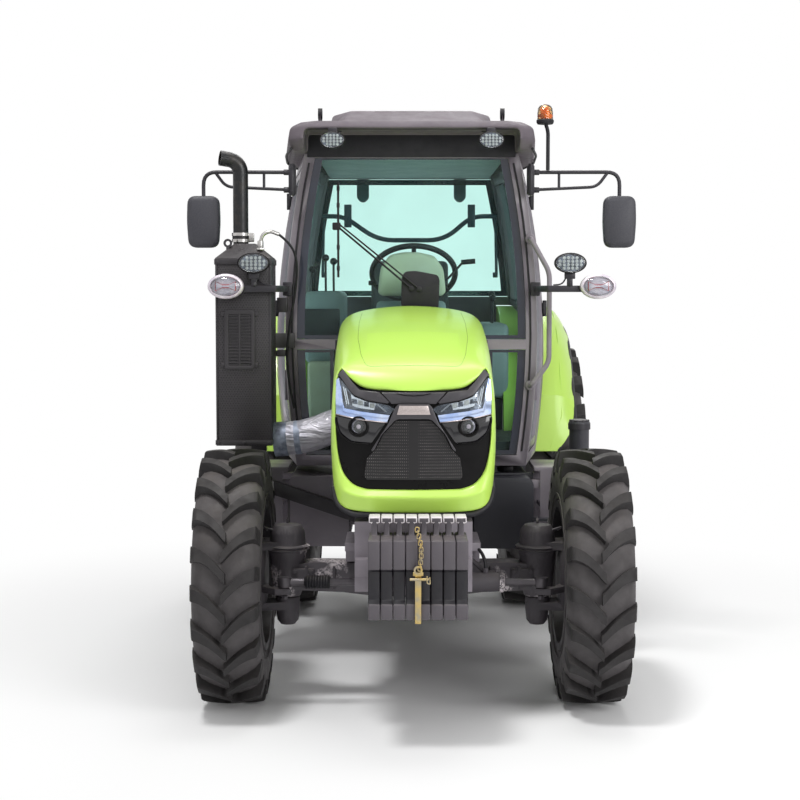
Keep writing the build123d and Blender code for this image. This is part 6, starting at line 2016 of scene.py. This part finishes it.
class TRACTOR_OT_linkage(PieceOperator, bpy.types.Operator):
    """Links, arms and rods of the rear hitch with rounded edges, threads, a handle and bolts"""
    bl_idname = "tractor.linkage"
    bl_label = "Rear linkage"
    make = staticmethod(build_linkage)


def build_finishes(_):
    for key, nodes in NODE_FINISH.items():
        for node in nodes.split():
            painted(NODES[node], key)


class TRACTOR_OT_finishes(PieceOperator, bpy.types.Operator):
    """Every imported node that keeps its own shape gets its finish"""
    bl_idname = "tractor.finishes"
    bl_label = "Finishes of the packed nodes"
    make = staticmethod(build_finishes)


NODE_FINISH = {
    "axle": "front_axle",
    "cast": "knuckle_left knuckle_right steering_cylinder engine_block transmission lower_links lift_arms "
        "drawbar",
    "steel": "steering_rod lift_rods top_link",
    "dark": "front_support cab_frame door_left door_right exhaust_stack side_lamps grab_rail steps",
    "weight": "front_weights",
    "zinc": "weight_lock",
    "lime": "hood_shell fenders",
    "mask": "hood_mask",
    "chrome": "headlamps",
    "glass": "cab_glass door_glass_left door_glass_right",
    "roof": "cab_roof",
    "mat": "cab_floor",
    "cloth": "driver_seat",
    "grey": "dash_console",
    "plastic": "steering_wheel mirrors roof_lamps fuel_tank",
    "perforated": "exhaust_box",
    "foil": "exhaust_pipe",
    "seal": "wiper",
    "red": "tail_lamps",
    "amber_core": "beacon",
}


# ---------------------------------------------------------------- panel and start
class TRACTOR_PT_sidebar(bpy.types.Panel):
    """Lists the tractor's colours, sizes and pieces"""
    bl_label = "Tractor"
    bl_idname = "TRACTOR_PT_sidebar"
    bl_space_type = "VIEW_3D"
    bl_region_type = "UI"
    bl_category = "Tractor"

    def draw(self, context):
        column = self.layout.column()
        for group in (context.scene.tractor_look, context.scene.tractor_sizes):
            for key in group.bl_rna.properties.keys():
                if key not in ("rna_type", "name"):
                    column.prop(group, key)
        for operator in OPERATORS:
            column.operator(operator.bl_idname)


OPERATORS = [value for key, value in list(globals().items()) if key.startswith("TRACTOR_OT_")]


def register():
    for cls in [TractorLook, TractorSizes] + OPERATORS + [TRACTOR_PT_sidebar]:
        bpy.utils.register_class(cls)
    bpy.types.Scene.tractor_look = bpy.props.PointerProperty(type=TractorLook)
    bpy.types.Scene.tractor_sizes = bpy.props.PointerProperty(type=TractorSizes)


def unregister():
    del bpy.types.Scene.tractor_sizes
    del bpy.types.Scene.tractor_look
    for cls in reversed([TractorLook, TractorSizes] + OPERATORS + [TRACTOR_PT_sidebar]):
        bpy.utils.unregister_class(cls)


def main():
    register()
    make_finishes(bpy.context.scene.tractor_look)
    for operator in OPERATORS:
        group, name = operator.bl_idname.split(".")
        getattr(getattr(bpy.ops, group), name)()
    clear()
    with open("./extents.json", "w") as file:
        json.dump({"cad": [list(corner) for corner in CAD_BOX], "visual": [list(corner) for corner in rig.bounds()]},
                  file)


if __name__ == "__main__":
    main()
